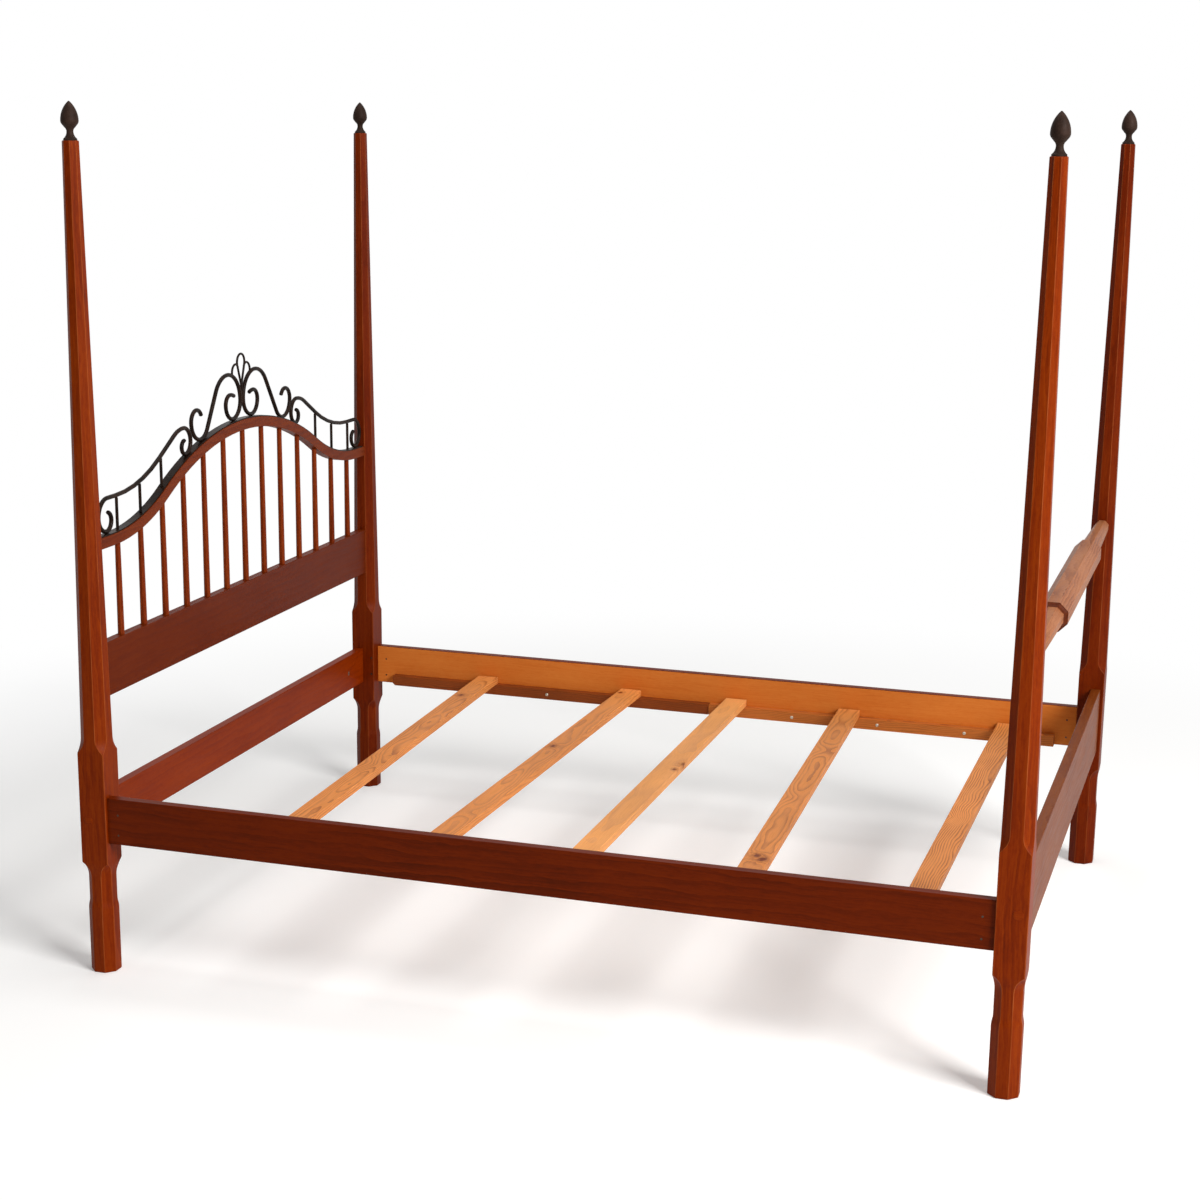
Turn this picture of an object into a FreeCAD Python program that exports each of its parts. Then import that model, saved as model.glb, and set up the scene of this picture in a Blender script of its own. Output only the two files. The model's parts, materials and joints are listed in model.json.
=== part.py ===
import FreeCAD, Part
import math
import os

# A pencil-post bed for a queen mattress, in millimetres.
# X runs from the head (-X) to the foot (+X), Y across the bed with the near side at -Y, Z up.
# The origin is on the floor under the middle of the bed.

# Bed plan, between post centres
bed_length = 2130.0
bed_width = 1588.0

# Posts: square at the block where the rails meet, eight-sided and tapered above it
post_height = 1930.0
block_side = 68.0
block_low = 275.0
block_high = 541.0
stop_height = 37.0
post_top_flats = 35.0
post_top_ease = 2.5
waist_flats = 60.0
waist_high = 236.0
waist_low = 182.0
foot_flats = 66.0
foot_high = 155.0
foot_ease = 3.0

# Rails round the mattress, which stand towards the outside of the blocks
rail_thickness = 25.0
rail_bottom = 324.0
rail_height = 111.0
head_rail_bottom = 327.0
head_rail_height = 104.0
foot_rail_height = 174.0
rail_ease = 2.0
rail_end_gap = 0.5
rail_lift = 22.0

# Tenons of the fixed rails
tenon_thickness = 12.0
tenon_shoulder = 12.0
tenon_stop = 9.0
mortise_gap = 2.0

# Headboard
panel_rail_bottom = 663.0
panel_rail_height = 129.0
crest_height = 26.0
crest_level = 1025.5
crest_rise = 178.5
crown_radius = 910.0
shoulder_radius = 565.0
crest_tenon_height = 14.0
spindle_count = 13
spindle_end_gap = 98.8
spindle_foot_flats = 15.0
spindle_top_flats = 12.0
spindle_tenon_diameter = 9.0
spindle_tenon_length = 12.0
spindle_hole_gap = 1.0

# Finials: a turned bud on a flared foot, with a pin that drops into the post
finial_height = 84.0
finial_foot_diameter = 30.5
finial_bead_height = 3.5
finial_neck_diameter = 15.0
finial_neck_height = 19.0
finial_cup_diameter = 24.0
finial_cup_height = 28.0
finial_bud_diameter = 39.6
finial_bud_low = 33.0
finial_bud_height = 42.0
finial_tip_diameter = 2.4
finial_pin_diameter = 9.0
finial_pin_length = 38.0
finial_pin_fit = 0.1
finial_hole_gap = 2.0

# Blanket rail between the foot posts, which turns in round sockets
blanket_level = 942.0
blanket_flats = 66.0
blanket_body_half = 380.0
blanket_cove_length = 16.0
blanket_neck_flats = 47.0
blanket_end_flats = 34.0
blanket_end_gap = 2.0
blanket_tenon_diameter = 28.0
blanket_tenon_fit = 0.08
blanket_tenon_stop = 10.0

# Hooks that hang each side rail on two pins in the post
plate_thickness = 3.0
plate_depth = 42.0
plate_bottom = 12.0
plate_height = 88.0
plate_slot_clearance = 0.4
hook_pin_height = 31.0
hook_pin_pitch = 49.0
hook_pin_depth = 7.0
hook_pin_diameter = 6.0
hook_reach = 15.0
hook_cover = 9.0
hook_drop = 12.0
hook_clearance = 0.25
hook_pin_hold = 8.0
slot_bottom_gap = 2.0
rivet_inset = 27.0
rivet_drop = 8.0
rivet_diameter = 5.0

# Bed bolts and barrel nuts that draw the posts onto the end rails
bolt_diameter = 8.0
bolt_head_diameter = 17.0
bolt_head_height = 6.0
bolt_sink = 11.0
bolt_socket_flats = 6.0
bolt_socket_depth = 3.0
bolt_past_nut = 9.0
bolt_clearance = 0.5
nut_diameter = 12.0
nut_inset = 105.0
nut_length = 19.0
plug_thickness = 4.0
plug_diameter = 22.0

# Ledgers and slats
ledger_thickness = 25.0
ledger_height = 29.0
ledger_inset = 57.0
ledger_joint_gap = 2.0
ledger_clip = 7.0
ledger_screw_count = 3
screw_diameter = 4.5
screw_head_diameter = 9.0
screw_head_height = 3.5
screw_length = 40.0
slat_width = 60.0
slat_thickness = 19.0
slat_end_gap = 4.0
slat_place_shares = [-0.3060, -0.1200, 0.0360, 0.2050, 0.3980]
slat_skew_degrees = [1.8, -1.4, 0.0, 2.4, 0.0]

# Ironwork on the crest: a strap, two large scrolls, two long side bars, uprights and three loops.
# The scrolls and the side bars stand a little to +Y of the middle, each by its own offset.
strap_width = 20.0
strap_thickness = 3.0
strap_post_gap = 5.0
bar_diameter = 10.5
weld_sink = 0.4
scroll_spacing = 17.0
scroll_offset = 2.5
side_bar_offset = 6.0
side_bar_post_gap = 5.0
upright_diameter = 7.5
upright_places = [445.5, 553.0, 664.5]
loop_bar_diameter = 5.8
loop_radius = 21.0
loop_lean_degrees = 20.0
loop_top = 168.0
stem_diameter = 6.8
stem_length = 46.0
stem_overlap = 4.0
side_loop_start = 51.0
side_loop_rise = 7.0
side_loop_radii = [21.0, 13.0]
side_loop_turn_degrees = [90.0, 50.0]
side_loop_run_out = 6.0
strap_screw_diameter = 4.0
strap_screw_head_diameter = 8.0
strap_screw_head_height = 2.4
strap_screw_length = 18.0
strap_screw_places = [400.0, 610.0]

# The large scroll, as the radii of its bends and what each turns, clockwise turns negative: from the
# inner curl to the top, over the top, and after a long straight fall round the outer curl.
# The angle of the fall differs a little between the right side, 1, and the left side, -1.
scroll_start_degrees = 26.0
scroll_inner_radii = [54.0, 25.0, 37.5, 45.0, 70.0]
scroll_inner_turn_degrees = [-26.0, -90.0, -90.0, -90.0, -90.0]
scroll_top_radius = 77.0
scroll_fall_degrees = {1: 56.0, -1: 58.5}
scroll_sweep_radius = 45.0
scroll_outer_radii = [46.0, 29.0, 27.0]
scroll_outer_turn_degrees = [90.0, 90.0, 68.0]

# The side bar: its upper curl, over its peak, the sweep after its straight fall, and its lower curl
side_bar_start_degrees = 0.0
side_bar_upper_radii = [16.0, 18.0, 29.0, 36.0]
side_bar_upper_turn_degrees = [-90.0, -90.0, -90.0, -90.0]
side_bar_peak_radius = 100.0
side_bar_fall_degrees = 29.0
side_bar_sweep_radius = 440.0
side_bar_lower_radii = [43.0, 34.0, 24.0, 20.0]
side_bar_lower_turn_degrees = [-90.0, -90.0, -90.0, -78.0]
side_bar_curl_place = 319.5

# How far a cutting shape runs past what it cuts, and how often a bent bar's length is corrected
overrun = 5.0
seating_rounds = 12

# Places that follow from the sizes above
half_length = bed_length / 2
half_width = bed_width / 2
block_half = block_side / 2
corner_half = block_half * math.sqrt(2)
rail_top = rail_bottom + rail_height
head_rail_top = head_rail_bottom + head_rail_height
ledger_top = rail_bottom + ledger_height
slat_top = ledger_top + slat_thickness
rail_half = half_length - block_half - rail_end_gap
rail_middle_y = half_width + rail_thickness / 2
end_rail_middle_x = half_length + rail_thickness / 2
tenon_end_y = half_width - tenon_stop
spindle_pitch = (bed_width - block_side - 2 * spindle_end_gap) / (spindle_count - 1)

Vec = FreeCAD.Vector
UP = Vec(0, 0, 1)
ACROSS = Vec(0, 1, 0)
ALONG = Vec(1, 0, 0)
ORIGIN = Vec(0, 0, 0)


def block(x_low, x_high, y_low, y_high, z_low, z_high):
    """A straight block between two corners, given in any order."""
    x_low, x_high = sorted((x_low, x_high))
    y_low, y_high = sorted((y_low, y_high))
    z_low, z_high = sorted((z_low, z_high))
    size = (x_high - x_low, y_high - y_low, z_high - z_low)
    return Part.makeBox(*size, Vec(x_low, y_low, z_low))


def rod(diameter, start, end):
    """A round rod from one point to another."""
    run = end.sub(start)
    return Part.makeCylinder(diameter / 2, run.Length, start, run)


def union(shapes):
    """One solid from several, without the seams between flush faces."""
    return shapes[0].fuse(shapes[1:]).removeSplitter()


def eased(bar, length):
    """A bar of a length with its long edges rounded."""
    long_edges = [edge for edge in bar.Edges if edge.Length > length - overrun]
    return bar.makeFillet(rail_ease, long_edges)


def mirrored_x(shape):
    """The same piece at the other end of the bed."""
    return shape.mirror(ORIGIN, ALONG)


def mirrored_y(shape):
    """The same piece on the other side of the bed."""
    return shape.mirror(ORIGIN, ACROSS)


class HalfOutline:
    """The right half of a symmetric outline, drawn upwards as distance from the axis and height."""

    def __init__(self, half, height):
        self.runs = []
        self.here = (half, height)

    def line_to(self, half, height):
        """A straight side to the next point."""
        self.runs.append([self.here, (half, height)])
        self.here = (half, height)
        return self

    def cove_to(self, half, height, straight_at_start):
        """An arc to the next point, which runs straight up at one of its ends."""
        target = (half, height)
        tangent_end, far_end = (self.here, target) if straight_at_start else (target, self.here)
        across = far_end[0] - tangent_end[0]
        rise = far_end[1] - tangent_end[1]
        half_turn = math.atan2(abs(across), abs(rise))
        radius = abs(rise) / math.sin(2 * half_turn)
        sagitta = radius * (1 - math.cos(half_turn))
        climb = radius * math.sin(half_turn)
        middle = (tangent_end[0] + math.copysign(sagitta, across),
                  tangent_end[1] + math.copysign(climb, rise))
        self.runs.append([self.here, middle, target])
        self.here = target
        return self

    def ogee_to(self, half, height):
        """Two equal arcs that leave and arrive straight up."""
        middle = ((self.here[0] + half) / 2, (self.here[1] + height) / 2)
        self.cove_to(middle[0], middle[1], True)
        return self.cove_to(half, height, False)

    def side_edges(self, side):
        """The outline's edges on one side of the axis, 1 or -1."""
        edges = []
        for run in self.runs:
            points = [Vec(side * half, 0, height) for half, height in run]
            curve = Part.Arc(*points) if len(points) == 3 else Part.LineSegment(*points)
            edges.append(curve.toShape())
        return edges

    def face(self):
        """The whole outline as a face in the XZ plane."""
        edges = self.side_edges(1) + self.side_edges(-1)
        for half, height in (self.runs[0][0], self.runs[-1][-1]):
            edges.append(Part.makeLine(Vec(-half, 0, height), Vec(half, 0, height)))
        return Part.Face(Part.Wire(Part.__sortEdges__(edges)))

    def turned(self):
        """The solid that the outline sweeps round the Z axis."""
        edges = self.side_edges(1)
        low = Vec(0, 0, self.runs[0][0][1])
        high = Vec(0, 0, self.runs[-1][-1][1])
        edges.append(Part.makeLine(low, high))
        for half, height in (self.runs[0][0], self.runs[-1][-1]):
            edges.append(Part.makeLine(Vec(0, 0, height), Vec(half, 0, height)))
        return Part.Face(Part.Wire(Part.__sortEdges__(edges))).revolve(ORIGIN, UP, 360.0)


def eight_sided(flat_outline, corner_outline, reach):
    """A bar with a vertical axis, where two outlines across the flats and two across the corners meet."""
    bar = None
    for quarter in range(4):
        outline = corner_outline if quarter % 2 else flat_outline
        slab = outline.face().extrude(ACROSS * (2 * reach))
        slab.translate(ACROSS * -reach)
        slab.rotate(ORIGIN, UP, 45.0 * quarter)
        bar = slab if bar is None else bar.common(slab)
    return bar


def make_post_body():
    """One post without its joints, on the Z axis."""
    top_half = post_top_flats / 2
    waist_half = waist_flats / 2
    foot_half = foot_flats / 2
    taper_start = block_high + stop_height

    def outline(block_reach):
        shape = HalfOutline(foot_half - foot_ease, 0)
        shape.cove_to(foot_half, foot_ease, False)
        shape.line_to(foot_half, foot_high)
        shape.ogee_to(waist_half, waist_low)
        shape.line_to(waist_half, waist_high)
        if block_reach == block_half:
            shape.ogee_to(block_half, block_low)
            shape.line_to(block_half, taper_start)
        else:
            shape.cove_to(block_reach, block_low, True)
            shape.line_to(block_reach + overrun, block_low)
            shape.line_to(block_reach + overrun, block_high)
            shape.line_to(block_reach, block_high)
            shape.cove_to(block_half, taper_start, False)
        shape.line_to(top_half, post_height - post_top_ease)
        shape.cove_to(top_half - post_top_ease, post_height, True)
        return shape

    return eight_sided(outline(block_half), outline(corner_half), block_side)


post_body = make_post_body()
post_bodies = {}
for end in (-1, 1):
    for side in (-1, 1):
        placed = post_body.copy()
        placed.translate(Vec(end * half_length, side * half_width, 0))
        post_bodies[end, side] = placed


def fixed_rail(x_low, x_high, z_low, z_high, end):
    """A rail across the bed whose shoulders fit the posts, with its tenons and their mortises."""
    rail = block(x_low, x_high, -half_width, half_width, z_low, z_high)
    rail = eased(rail, bed_width).cut([post_bodies[end, -1], post_bodies[end, 1]])
    x_middle = (x_low + x_high) / 2
    tenon_x = (x_middle - tenon_thickness / 2, x_middle + tenon_thickness / 2)
    tenon_z = (z_low + tenon_shoulder, z_high - tenon_shoulder)
    rail_tenons = block(*tenon_x, -tenon_end_y, tenon_end_y, *tenon_z)
    mortise_y = tenon_end_y + mortise_gap
    mortises = block(*tenon_x, -mortise_y, mortise_y, *tenon_z)
    return union([rail, rail_tenons]), mortises


# Rails of the headboard and footboard
half_thickness = rail_thickness / 2
panel_rail_top = panel_rail_bottom + panel_rail_height
panel_rail, panel_mortises = fixed_rail(-half_length - half_thickness, -half_length + half_thickness,
                                        panel_rail_bottom, panel_rail_top, -1)
head_rail, head_mortises = fixed_rail(-half_length - rail_thickness, -half_length,
                                      head_rail_bottom, head_rail_top, -1)
foot_rail_top = rail_bottom + foot_rail_height
foot_rail, foot_mortises = fixed_rail(half_length, half_length + rail_thickness,
                                      rail_bottom, foot_rail_top, 1)


class CrestCurve:
    """The arched line of the crest rail: level, then a hollow arc, then the round crown."""

    def __init__(self):
        radii = crown_radius + shoulder_radius
        self.turn = math.acos(1 - crest_rise / radii)
        self.crown_centre = crest_level + crest_rise - crown_radius
        self.shoulder_y = radii * math.sin(self.turn)
        self.shoulder_centre = crest_level + shoulder_radius

    def height(self, place, offset=0.0):
        """Height of the line that runs at an offset above the middle line, at a place across the bed."""
        place = abs(place)
        crown = crown_radius + offset
        shoulder = shoulder_radius - offset
        if place >= self.shoulder_y:
            return crest_level + offset
        if place <= crown * math.sin(self.turn):
            return self.crown_centre + math.sqrt(crown ** 2 - place ** 2)
        return self.shoulder_centre - math.sqrt(shoulder ** 2 - (self.shoulder_y - place) ** 2)

    def edges(self, offset, reach):
        """The line at an offset above the middle line, from -reach to reach across the bed."""
        crown = crown_radius + offset
        bend_y = crown * math.sin(self.turn)
        places = [(-reach, -self.shoulder_y), (-self.shoulder_y, -bend_y), (-bend_y, bend_y),
                  (bend_y, self.shoulder_y), (self.shoulder_y, reach)]
        edges = []
        for number, (low, high) in enumerate(places):
            ends = [Vec(0, y, self.height(y, offset)) for y in (low, high)]
            if number in (0, 4):
                edges.append(Part.makeLine(*ends))
            else:
                middle_y = (low + high) / 2
                middle = Vec(0, middle_y, self.height(middle_y, offset))
                edges.append(Part.Arc(ends[0], middle, ends[1]).toShape())
        return edges

    def band(self, low_offset, high_offset, reach, thickness):
        """A bent bar between two offsets, centred on the headboard's plane."""
        edges = self.edges(low_offset, reach) + self.edges(high_offset, reach)
        for y in (-reach, reach):
            edges.append(Part.makeLine(Vec(0, y, crest_level + low_offset),
                                       Vec(0, y, crest_level + high_offset)))
        face = Part.Face(Part.Wire(Part.__sortEdges__(edges)))
        bar = face.extrude(ALONG * thickness)
        bar.translate(Vec(-half_length - thickness / 2, 0, 0))
        return bar


crest = CrestCurve()
crest_half = crest_height / 2

# Crest rail, with its tenons in the level ends
crest_solid = crest.band(-crest_half, crest_half, half_width, rail_thickness)
crest_solid = crest_solid.cut([post_bodies[-1, -1], post_bodies[-1, 1]])
crest_tenons = []
crest_mortises = []
for side in (-1, 1):
    for end_y, group in ((tenon_end_y, crest_tenons), (tenon_end_y + mortise_gap, crest_mortises)):
        group.append(block(-half_length - tenon_thickness / 2, -half_length + tenon_thickness / 2,
                           side * (half_width - block_side), side * end_y,
                           crest_level - crest_tenon_height / 2, crest_level + crest_tenon_height / 2))
crest_rail = union([crest_solid] + crest_tenons)


# Spindles: eight-sided, tapered upwards, with a round tenon at each end
def make_spindle(place):
    """A spindle at a place across the bed, cut to the crest's hollow, and its two holes."""
    foot_half = spindle_foot_flats / 2
    top_half = spindle_top_flats / 2
    top_line = crest.height(place, crest_half)
    outline = HalfOutline(foot_half, panel_rail_top).line_to(top_half, top_line)
    shaft = eight_sided(outline, outline, spindle_foot_flats)
    axis = Vec(-half_length, place, 0)
    shaft.translate(axis)
    shaft = shaft.cut(crest_solid)
    shaft = [solid for solid in shaft.Solids if solid.BoundBox.ZMin < panel_rail_top + overrun][0]
    low = panel_rail_top - spindle_tenon_length
    high = crest.height(place, -crest_half) + spindle_tenon_length
    pin = rod(spindle_tenon_diameter, axis + UP * low, axis + UP * high)
    hole = rod(spindle_tenon_diameter, axis + UP * (low - spindle_hole_gap),
               axis + UP * (high + spindle_hole_gap))
    return union([shaft, pin]), hole


spindles = []
spindle_holes = []
for number in range(spindle_count):
    spindle_place = (number - (spindle_count - 1) / 2) * spindle_pitch
    spindle, spindle_hole = make_spindle(spindle_place)
    spindles.append(spindle)
    spindle_holes.append(spindle_hole)
panel_rail = panel_rail.cut(spindle_holes)
crest_rail = crest_rail.cut(spindle_holes)


# Finial: one turning from pin to tip
def make_finial():
    """The finial of a post whose axis is Z, seated on the post's top."""
    pin_half = finial_pin_diameter / 2
    foot_half = finial_foot_diameter / 2
    neck_half = finial_neck_diameter / 2
    cup_half = finial_cup_diameter / 2
    bud_half = finial_bud_diameter / 2
    outline = HalfOutline(pin_half, -finial_pin_length)
    outline.line_to(pin_half, 0)
    outline.line_to(foot_half, 0)
    outline.line_to(foot_half, finial_bead_height)
    outline.cove_to(neck_half, finial_neck_height, False)
    outline.cove_to(cup_half, finial_cup_height, True)
    outline.line_to((cup_half + bud_half) / 2, finial_bud_low)
    outline.cove_to(bud_half, finial_bud_height, False)
    outline.cove_to(finial_tip_diameter / 2, finial_height, True)
    turning = outline.turned()
    turning.translate(UP * post_height)
    return turning


finial_body = make_finial()
finial_hole = rod(finial_pin_diameter + 2 * finial_pin_fit,
                  UP * (post_height - finial_pin_length - finial_hole_gap), UP * (post_height + overrun))


# Blanket rail: eight-sided body, coved shoulders, tapered necks and round tenons
def make_blanket_rail():
    """The blanket rail along Y at its place between the foot posts."""
    post_half = block_half - (block_half - post_top_flats / 2) * (
        (blanket_level - block_high - stop_height) / (post_height - block_high - stop_height))
    neck_end = half_width - post_half - blanket_end_gap
    body_half = blanket_flats / 2
    neck_half = blanket_neck_flats / 2
    end_half = blanket_end_flats / 2
    outline = HalfOutline(end_half, -neck_end)
    outline.line_to(neck_half, -blanket_body_half - blanket_cove_length)
    outline.cove_to(body_half, -blanket_body_half, True)
    outline.line_to(body_half, blanket_body_half)
    outline.cove_to(neck_half, blanket_body_half + blanket_cove_length, False)
    outline.line_to(end_half, neck_end)
    bar = eight_sided(outline, outline, blanket_flats)
    tenon_reach = half_width - blanket_tenon_stop
    round_tenons = rod(blanket_tenon_diameter, UP * -tenon_reach, UP * tenon_reach)
    bar = union([bar, round_tenons])
    bar.rotate(ORIGIN, ALONG, 90.0)
    bar.translate(Vec(half_length, 0, blanket_level))
    return bar


blanket_rail = make_blanket_rail()
socket_reach = half_width - blanket_tenon_stop + mortise_gap
blanket_sockets = rod(blanket_tenon_diameter + 2 * blanket_tenon_fit,
                      Vec(half_length, -socket_reach, blanket_level),
                      Vec(half_length, socket_reach, blanket_level))


# Bed bolts: each passes through a post into an end rail and a barrel nut
def make_bolt_set(end, level):
    """Bolt, nut and plug at the far post of one end, and what they cut from post and rail."""
    x = end * end_rail_middle_x
    face_y = half_width + block_half
    seat_y = face_y - bolt_sink
    nut_y = half_width - block_half - nut_inset
    tip_y = nut_y - bolt_past_nut
    centre = Vec(x, 0, level)
    head = rod(bolt_head_diameter, centre + ACROSS * seat_y, centre + ACROSS * (seat_y + bolt_head_height))
    shank = rod(bolt_diameter, centre + ACROSS * tip_y, centre + ACROSS * seat_y)
    socket_corner = bolt_socket_flats / math.sqrt(3)
    corners = []
    for corner in range(7):
        angle = math.radians(60.0 * corner)
        corners.append(Vec(x + socket_corner * math.cos(angle), seat_y + bolt_head_height,
                           level + socket_corner * math.sin(angle)))
    socket = Part.Face(Part.makePolygon(corners)).extrude(ACROSS * -bolt_socket_depth)
    bolt = union([head, shank]).cut(socket)
    shank_room = rod(bolt_diameter + 2 * bolt_clearance, centre + ACROSS * (tip_y - bolt_clearance),
                     centre + ACROSS * (face_y + overrun))
    counterbore = rod(plug_diameter, centre + ACROSS * seat_y, centre + ACROSS * (face_y + overrun))
    inner_x = end * half_length
    nut_start = Vec(inner_x, nut_y, level)
    nut_end = Vec(inner_x + end * nut_length, nut_y, level)
    nut = rod(nut_diameter, nut_start, nut_end)
    nut_hole = nut.copy()
    nut = nut.cut(shank)
    plug = rod(plug_diameter, centre + ACROSS * (face_y - plug_thickness), centre + ACROSS * face_y)
    return bolt, nut, plug, union([shank_room, counterbore]), nut_hole


bolts = []
nuts = []
plugs = []
post_bolt_cuts = {}
for end, end_level in ((-1, head_rail_bottom + head_rail_height / 2),
                       (1, rail_bottom + foot_rail_height / 2)):
    bolt, nut, plug, bolt_room, nut_hole = make_bolt_set(end, end_level)
    bolts += [bolt, mirrored_y(bolt)]
    nuts += [nut, mirrored_y(nut)]
    plugs += [plug, mirrored_y(plug)]
    post_bolt_cuts[end, 1] = bolt_room
    post_bolt_cuts[end, -1] = mirrored_y(bolt_room)
    rail_cuts = [bolt_room, mirrored_y(bolt_room), nut_hole, mirrored_y(nut_hole)]
    if end < 0:
        head_rail = head_rail.cut(rail_cuts)
    else:
        foot_rail = foot_rail.cut(rail_cuts)


# Hook plates: flat plates let into the ends of the side rails, two hooks each
def make_hook_set():
    """Plate, post pins and rivets at the foot end of the far rail, with the post's slot."""
    face_x = half_length - block_half
    y_low = rail_middle_y - plate_thickness / 2
    plate_z = rail_bottom + plate_bottom
    plate = block(rail_half - plate_depth, rail_half, y_low, y_low + plate_thickness,
                  plate_z, plate_z + plate_height)
    pocket = plate.copy()
    pin_half = hook_pin_diameter / 2
    notch_half = pin_half + hook_clearance
    pin_x = face_x + hook_pin_depth
    slot_half = plate_thickness / 2 + plate_slot_clearance
    pin_inner_y = half_width - block_half
    pin_outer_y = rail_middle_y + slot_half + hook_pin_hold
    pins = []
    rivets = []
    for step in range(2):
        pin_z = rail_bottom + hook_pin_height + step * hook_pin_pitch
        hook = block(rail_half - plate_depth, face_x + hook_reach, y_low, y_low + plate_thickness,
                     pin_z - hook_drop, pin_z + pin_half + hook_cover)
        notch = block(pin_x - notch_half, pin_x + notch_half, y_low - overrun,
                      y_low + plate_thickness + overrun, pin_z - hook_drop - overrun, pin_z)
        notch_top = rod(2 * notch_half, Vec(pin_x, y_low - overrun, pin_z),
                        Vec(pin_x, y_low + plate_thickness + overrun, pin_z))
        plate = plate.fuse(hook).cut([notch, notch_top])
        pins.append(rod(hook_pin_diameter, Vec(pin_x, pin_inner_y, pin_z), Vec(pin_x, pin_outer_y, pin_z)))
        rivet_x = face_x - rivet_inset
        rivet_z = pin_z - rivet_drop
        rivets.append(rod(rivet_diameter, Vec(rivet_x, half_width, rivet_z),
                          Vec(rivet_x, half_width + rail_thickness, rivet_z)))
    plate = plate.removeSplitter().cut(rivets)
    slot = block(face_x - overrun, face_x + hook_reach + slot_bottom_gap,
                 rail_middle_y - slot_half, rail_middle_y + slot_half,
                 rail_bottom + hook_pin_height - hook_drop - slot_bottom_gap,
                 pin_z + pin_half + hook_cover + rail_lift + slot_bottom_gap)
    return plate, pins, rivets, slot, pocket


hook_plate, hook_pins, hook_rivets, hook_slot, plate_pocket = make_hook_set()
all_hook_pins = []
for pin in hook_pins:
    all_hook_pins += [pin, mirrored_x(pin), mirrored_y(pin), mirrored_x(mirrored_y(pin))]
far_rivets = []
for rivet in hook_rivets:
    far_rivets += [rivet, mirrored_x(rivet)]
near_rivets = [mirrored_y(rivet) for rivet in far_rivets]


# Ledgers: two strips on each side rail, screwed to its inner face
def make_ledger(x_low, x_high, clipped):
    """A strip on the far rail, its screws, with its lower corner clipped at the head end if asked."""
    y_high = half_width
    y_low = half_width - ledger_thickness
    strip = block(x_low, x_high, y_low, y_high, rail_bottom, ledger_top)
    if clipped:
        corner = Part.makePolygon([Vec(x_low, y_low - overrun, rail_bottom),
                                   Vec(x_low + ledger_clip, y_low - overrun, rail_bottom),
                                   Vec(x_low, y_low - overrun, rail_bottom + ledger_clip),
                                   Vec(x_low, y_low - overrun, rail_bottom)])
        strip = strip.cut(Part.Face(corner).extrude(ACROSS * (ledger_thickness + 2 * overrun)))
    spacing = (x_high - x_low) / (ledger_screw_count + 1)
    screws = []
    for number in range(ledger_screw_count):
        place = Vec(x_low + spacing * (number + 1), y_low, rail_bottom + ledger_height / 2)
        head = Part.makeCone(screw_head_diameter / 2, screw_diameter / 2, screw_head_height, place, ACROSS)
        shank = rod(screw_diameter, place, place + ACROSS * screw_length)
        screws.append(union([head, shank]))
    return strip.cut(screws), screws


ledger_half = rail_half - ledger_inset
joint_half = ledger_joint_gap / 2
far_ledger_head, head_screws = make_ledger(-ledger_half, -joint_half, True)
far_ledger_foot, foot_screws = make_ledger(joint_half, ledger_half, False)
far_screws = head_screws + foot_screws
near_screws = [mirrored_y(screw) for screw in far_screws]

# Side rails, with pockets for the hook plates and holes for rivets and screws
far_rail = block(-rail_half, rail_half, half_width, half_width + rail_thickness, rail_bottom, rail_top)
far_rail = eased(far_rail, 2 * rail_half)
far_rail = far_rail.cut([plate_pocket, mirrored_x(plate_pocket)] + far_rivets + far_screws)


# Slats: loose boards laid a little askew on the ledgers
def make_slat(place_share, skew):
    """A slat at a share of the bed's length from the middle, turned by its skew."""
    reach = half_width - slat_end_gap
    slat = block(-slat_width / 2, slat_width / 2, -reach, reach, ledger_top, slat_top)
    slat.rotate(ORIGIN, UP, skew)
    slat.translate(ALONG * (place_share * bed_length))
    return slat


# Ironwork: bars bent into chains of tangent arcs in the headboard's plane
class BentBar:
    """A path of tangent arcs and straight runs in the YZ plane, drawn from a start and a heading."""

    def __init__(self, start, heading):
        self.start = start
        self.start_heading = heading
        self.point = start
        self.heading = heading
        self.pieces = []

    def direction(self, heading):
        """The unit step across and up for a heading in degrees from level."""
        angle = math.radians(heading)
        return Vec(0, math.cos(angle), math.sin(angle))

    def run(self, length):
        """A straight run in the present heading."""
        step = self.direction(self.heading) * length
        self.pieces.append((Part.makeLine(self.point, self.point + step), None, step))
        self.point = self.point + step

    def bend(self, radius, turn):
        """An arc of a radius and a turn in degrees, clockwise when the turn is negative."""
        side = math.copysign(90.0, turn)
        centre = self.point + self.direction(self.heading + side) * radius
        middle = centre - self.direction(self.heading + turn / 2 + side) * radius
        end = centre - self.direction(self.heading + turn + side) * radius
        self.pieces.append((Part.Arc(self.point, middle, end).toShape(), centre, turn))
        self.point = end
        self.heading += turn

    def follow(self, steps):
        """Several steps, where a pair is a bend and a single number a straight run."""
        for step in steps:
            if isinstance(step, tuple):
                self.bend(*step)
            else:
                self.run(step)

    def line(self):
        """The path's arcs and straight runs as one shape."""
        return Part.Compound([edge for edge, centre, move in self.pieces])

    def tube(self, diameter):
        """A round bar along the path."""
        circle = Part.makeCircle(diameter / 2, self.start, self.direction(self.start_heading))
        disc = Part.Face(Part.Wire(circle))
        lengths = []
        for edge, centre, move in self.pieces:
            if centre is None:
                lengths.append(disc.extrude(move))
                disc.translate(move)
            else:
                lengths.append(disc.revolve(centre, ALONG, move))
                disc.rotate(centre, ALONG, move)
        return union(lengths)


def lowest_point(path):
    """The lowest point that a path touches."""
    box = path.line().optimalBoundingBox(False)
    level = Part.makeLine(Vec(0, box.YMin, box.ZMin - overrun), Vec(0, box.YMax, box.ZMin - overrun))
    distance, pairs, _ = path.line().distToShape(level)
    return pairs[0][0]


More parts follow.
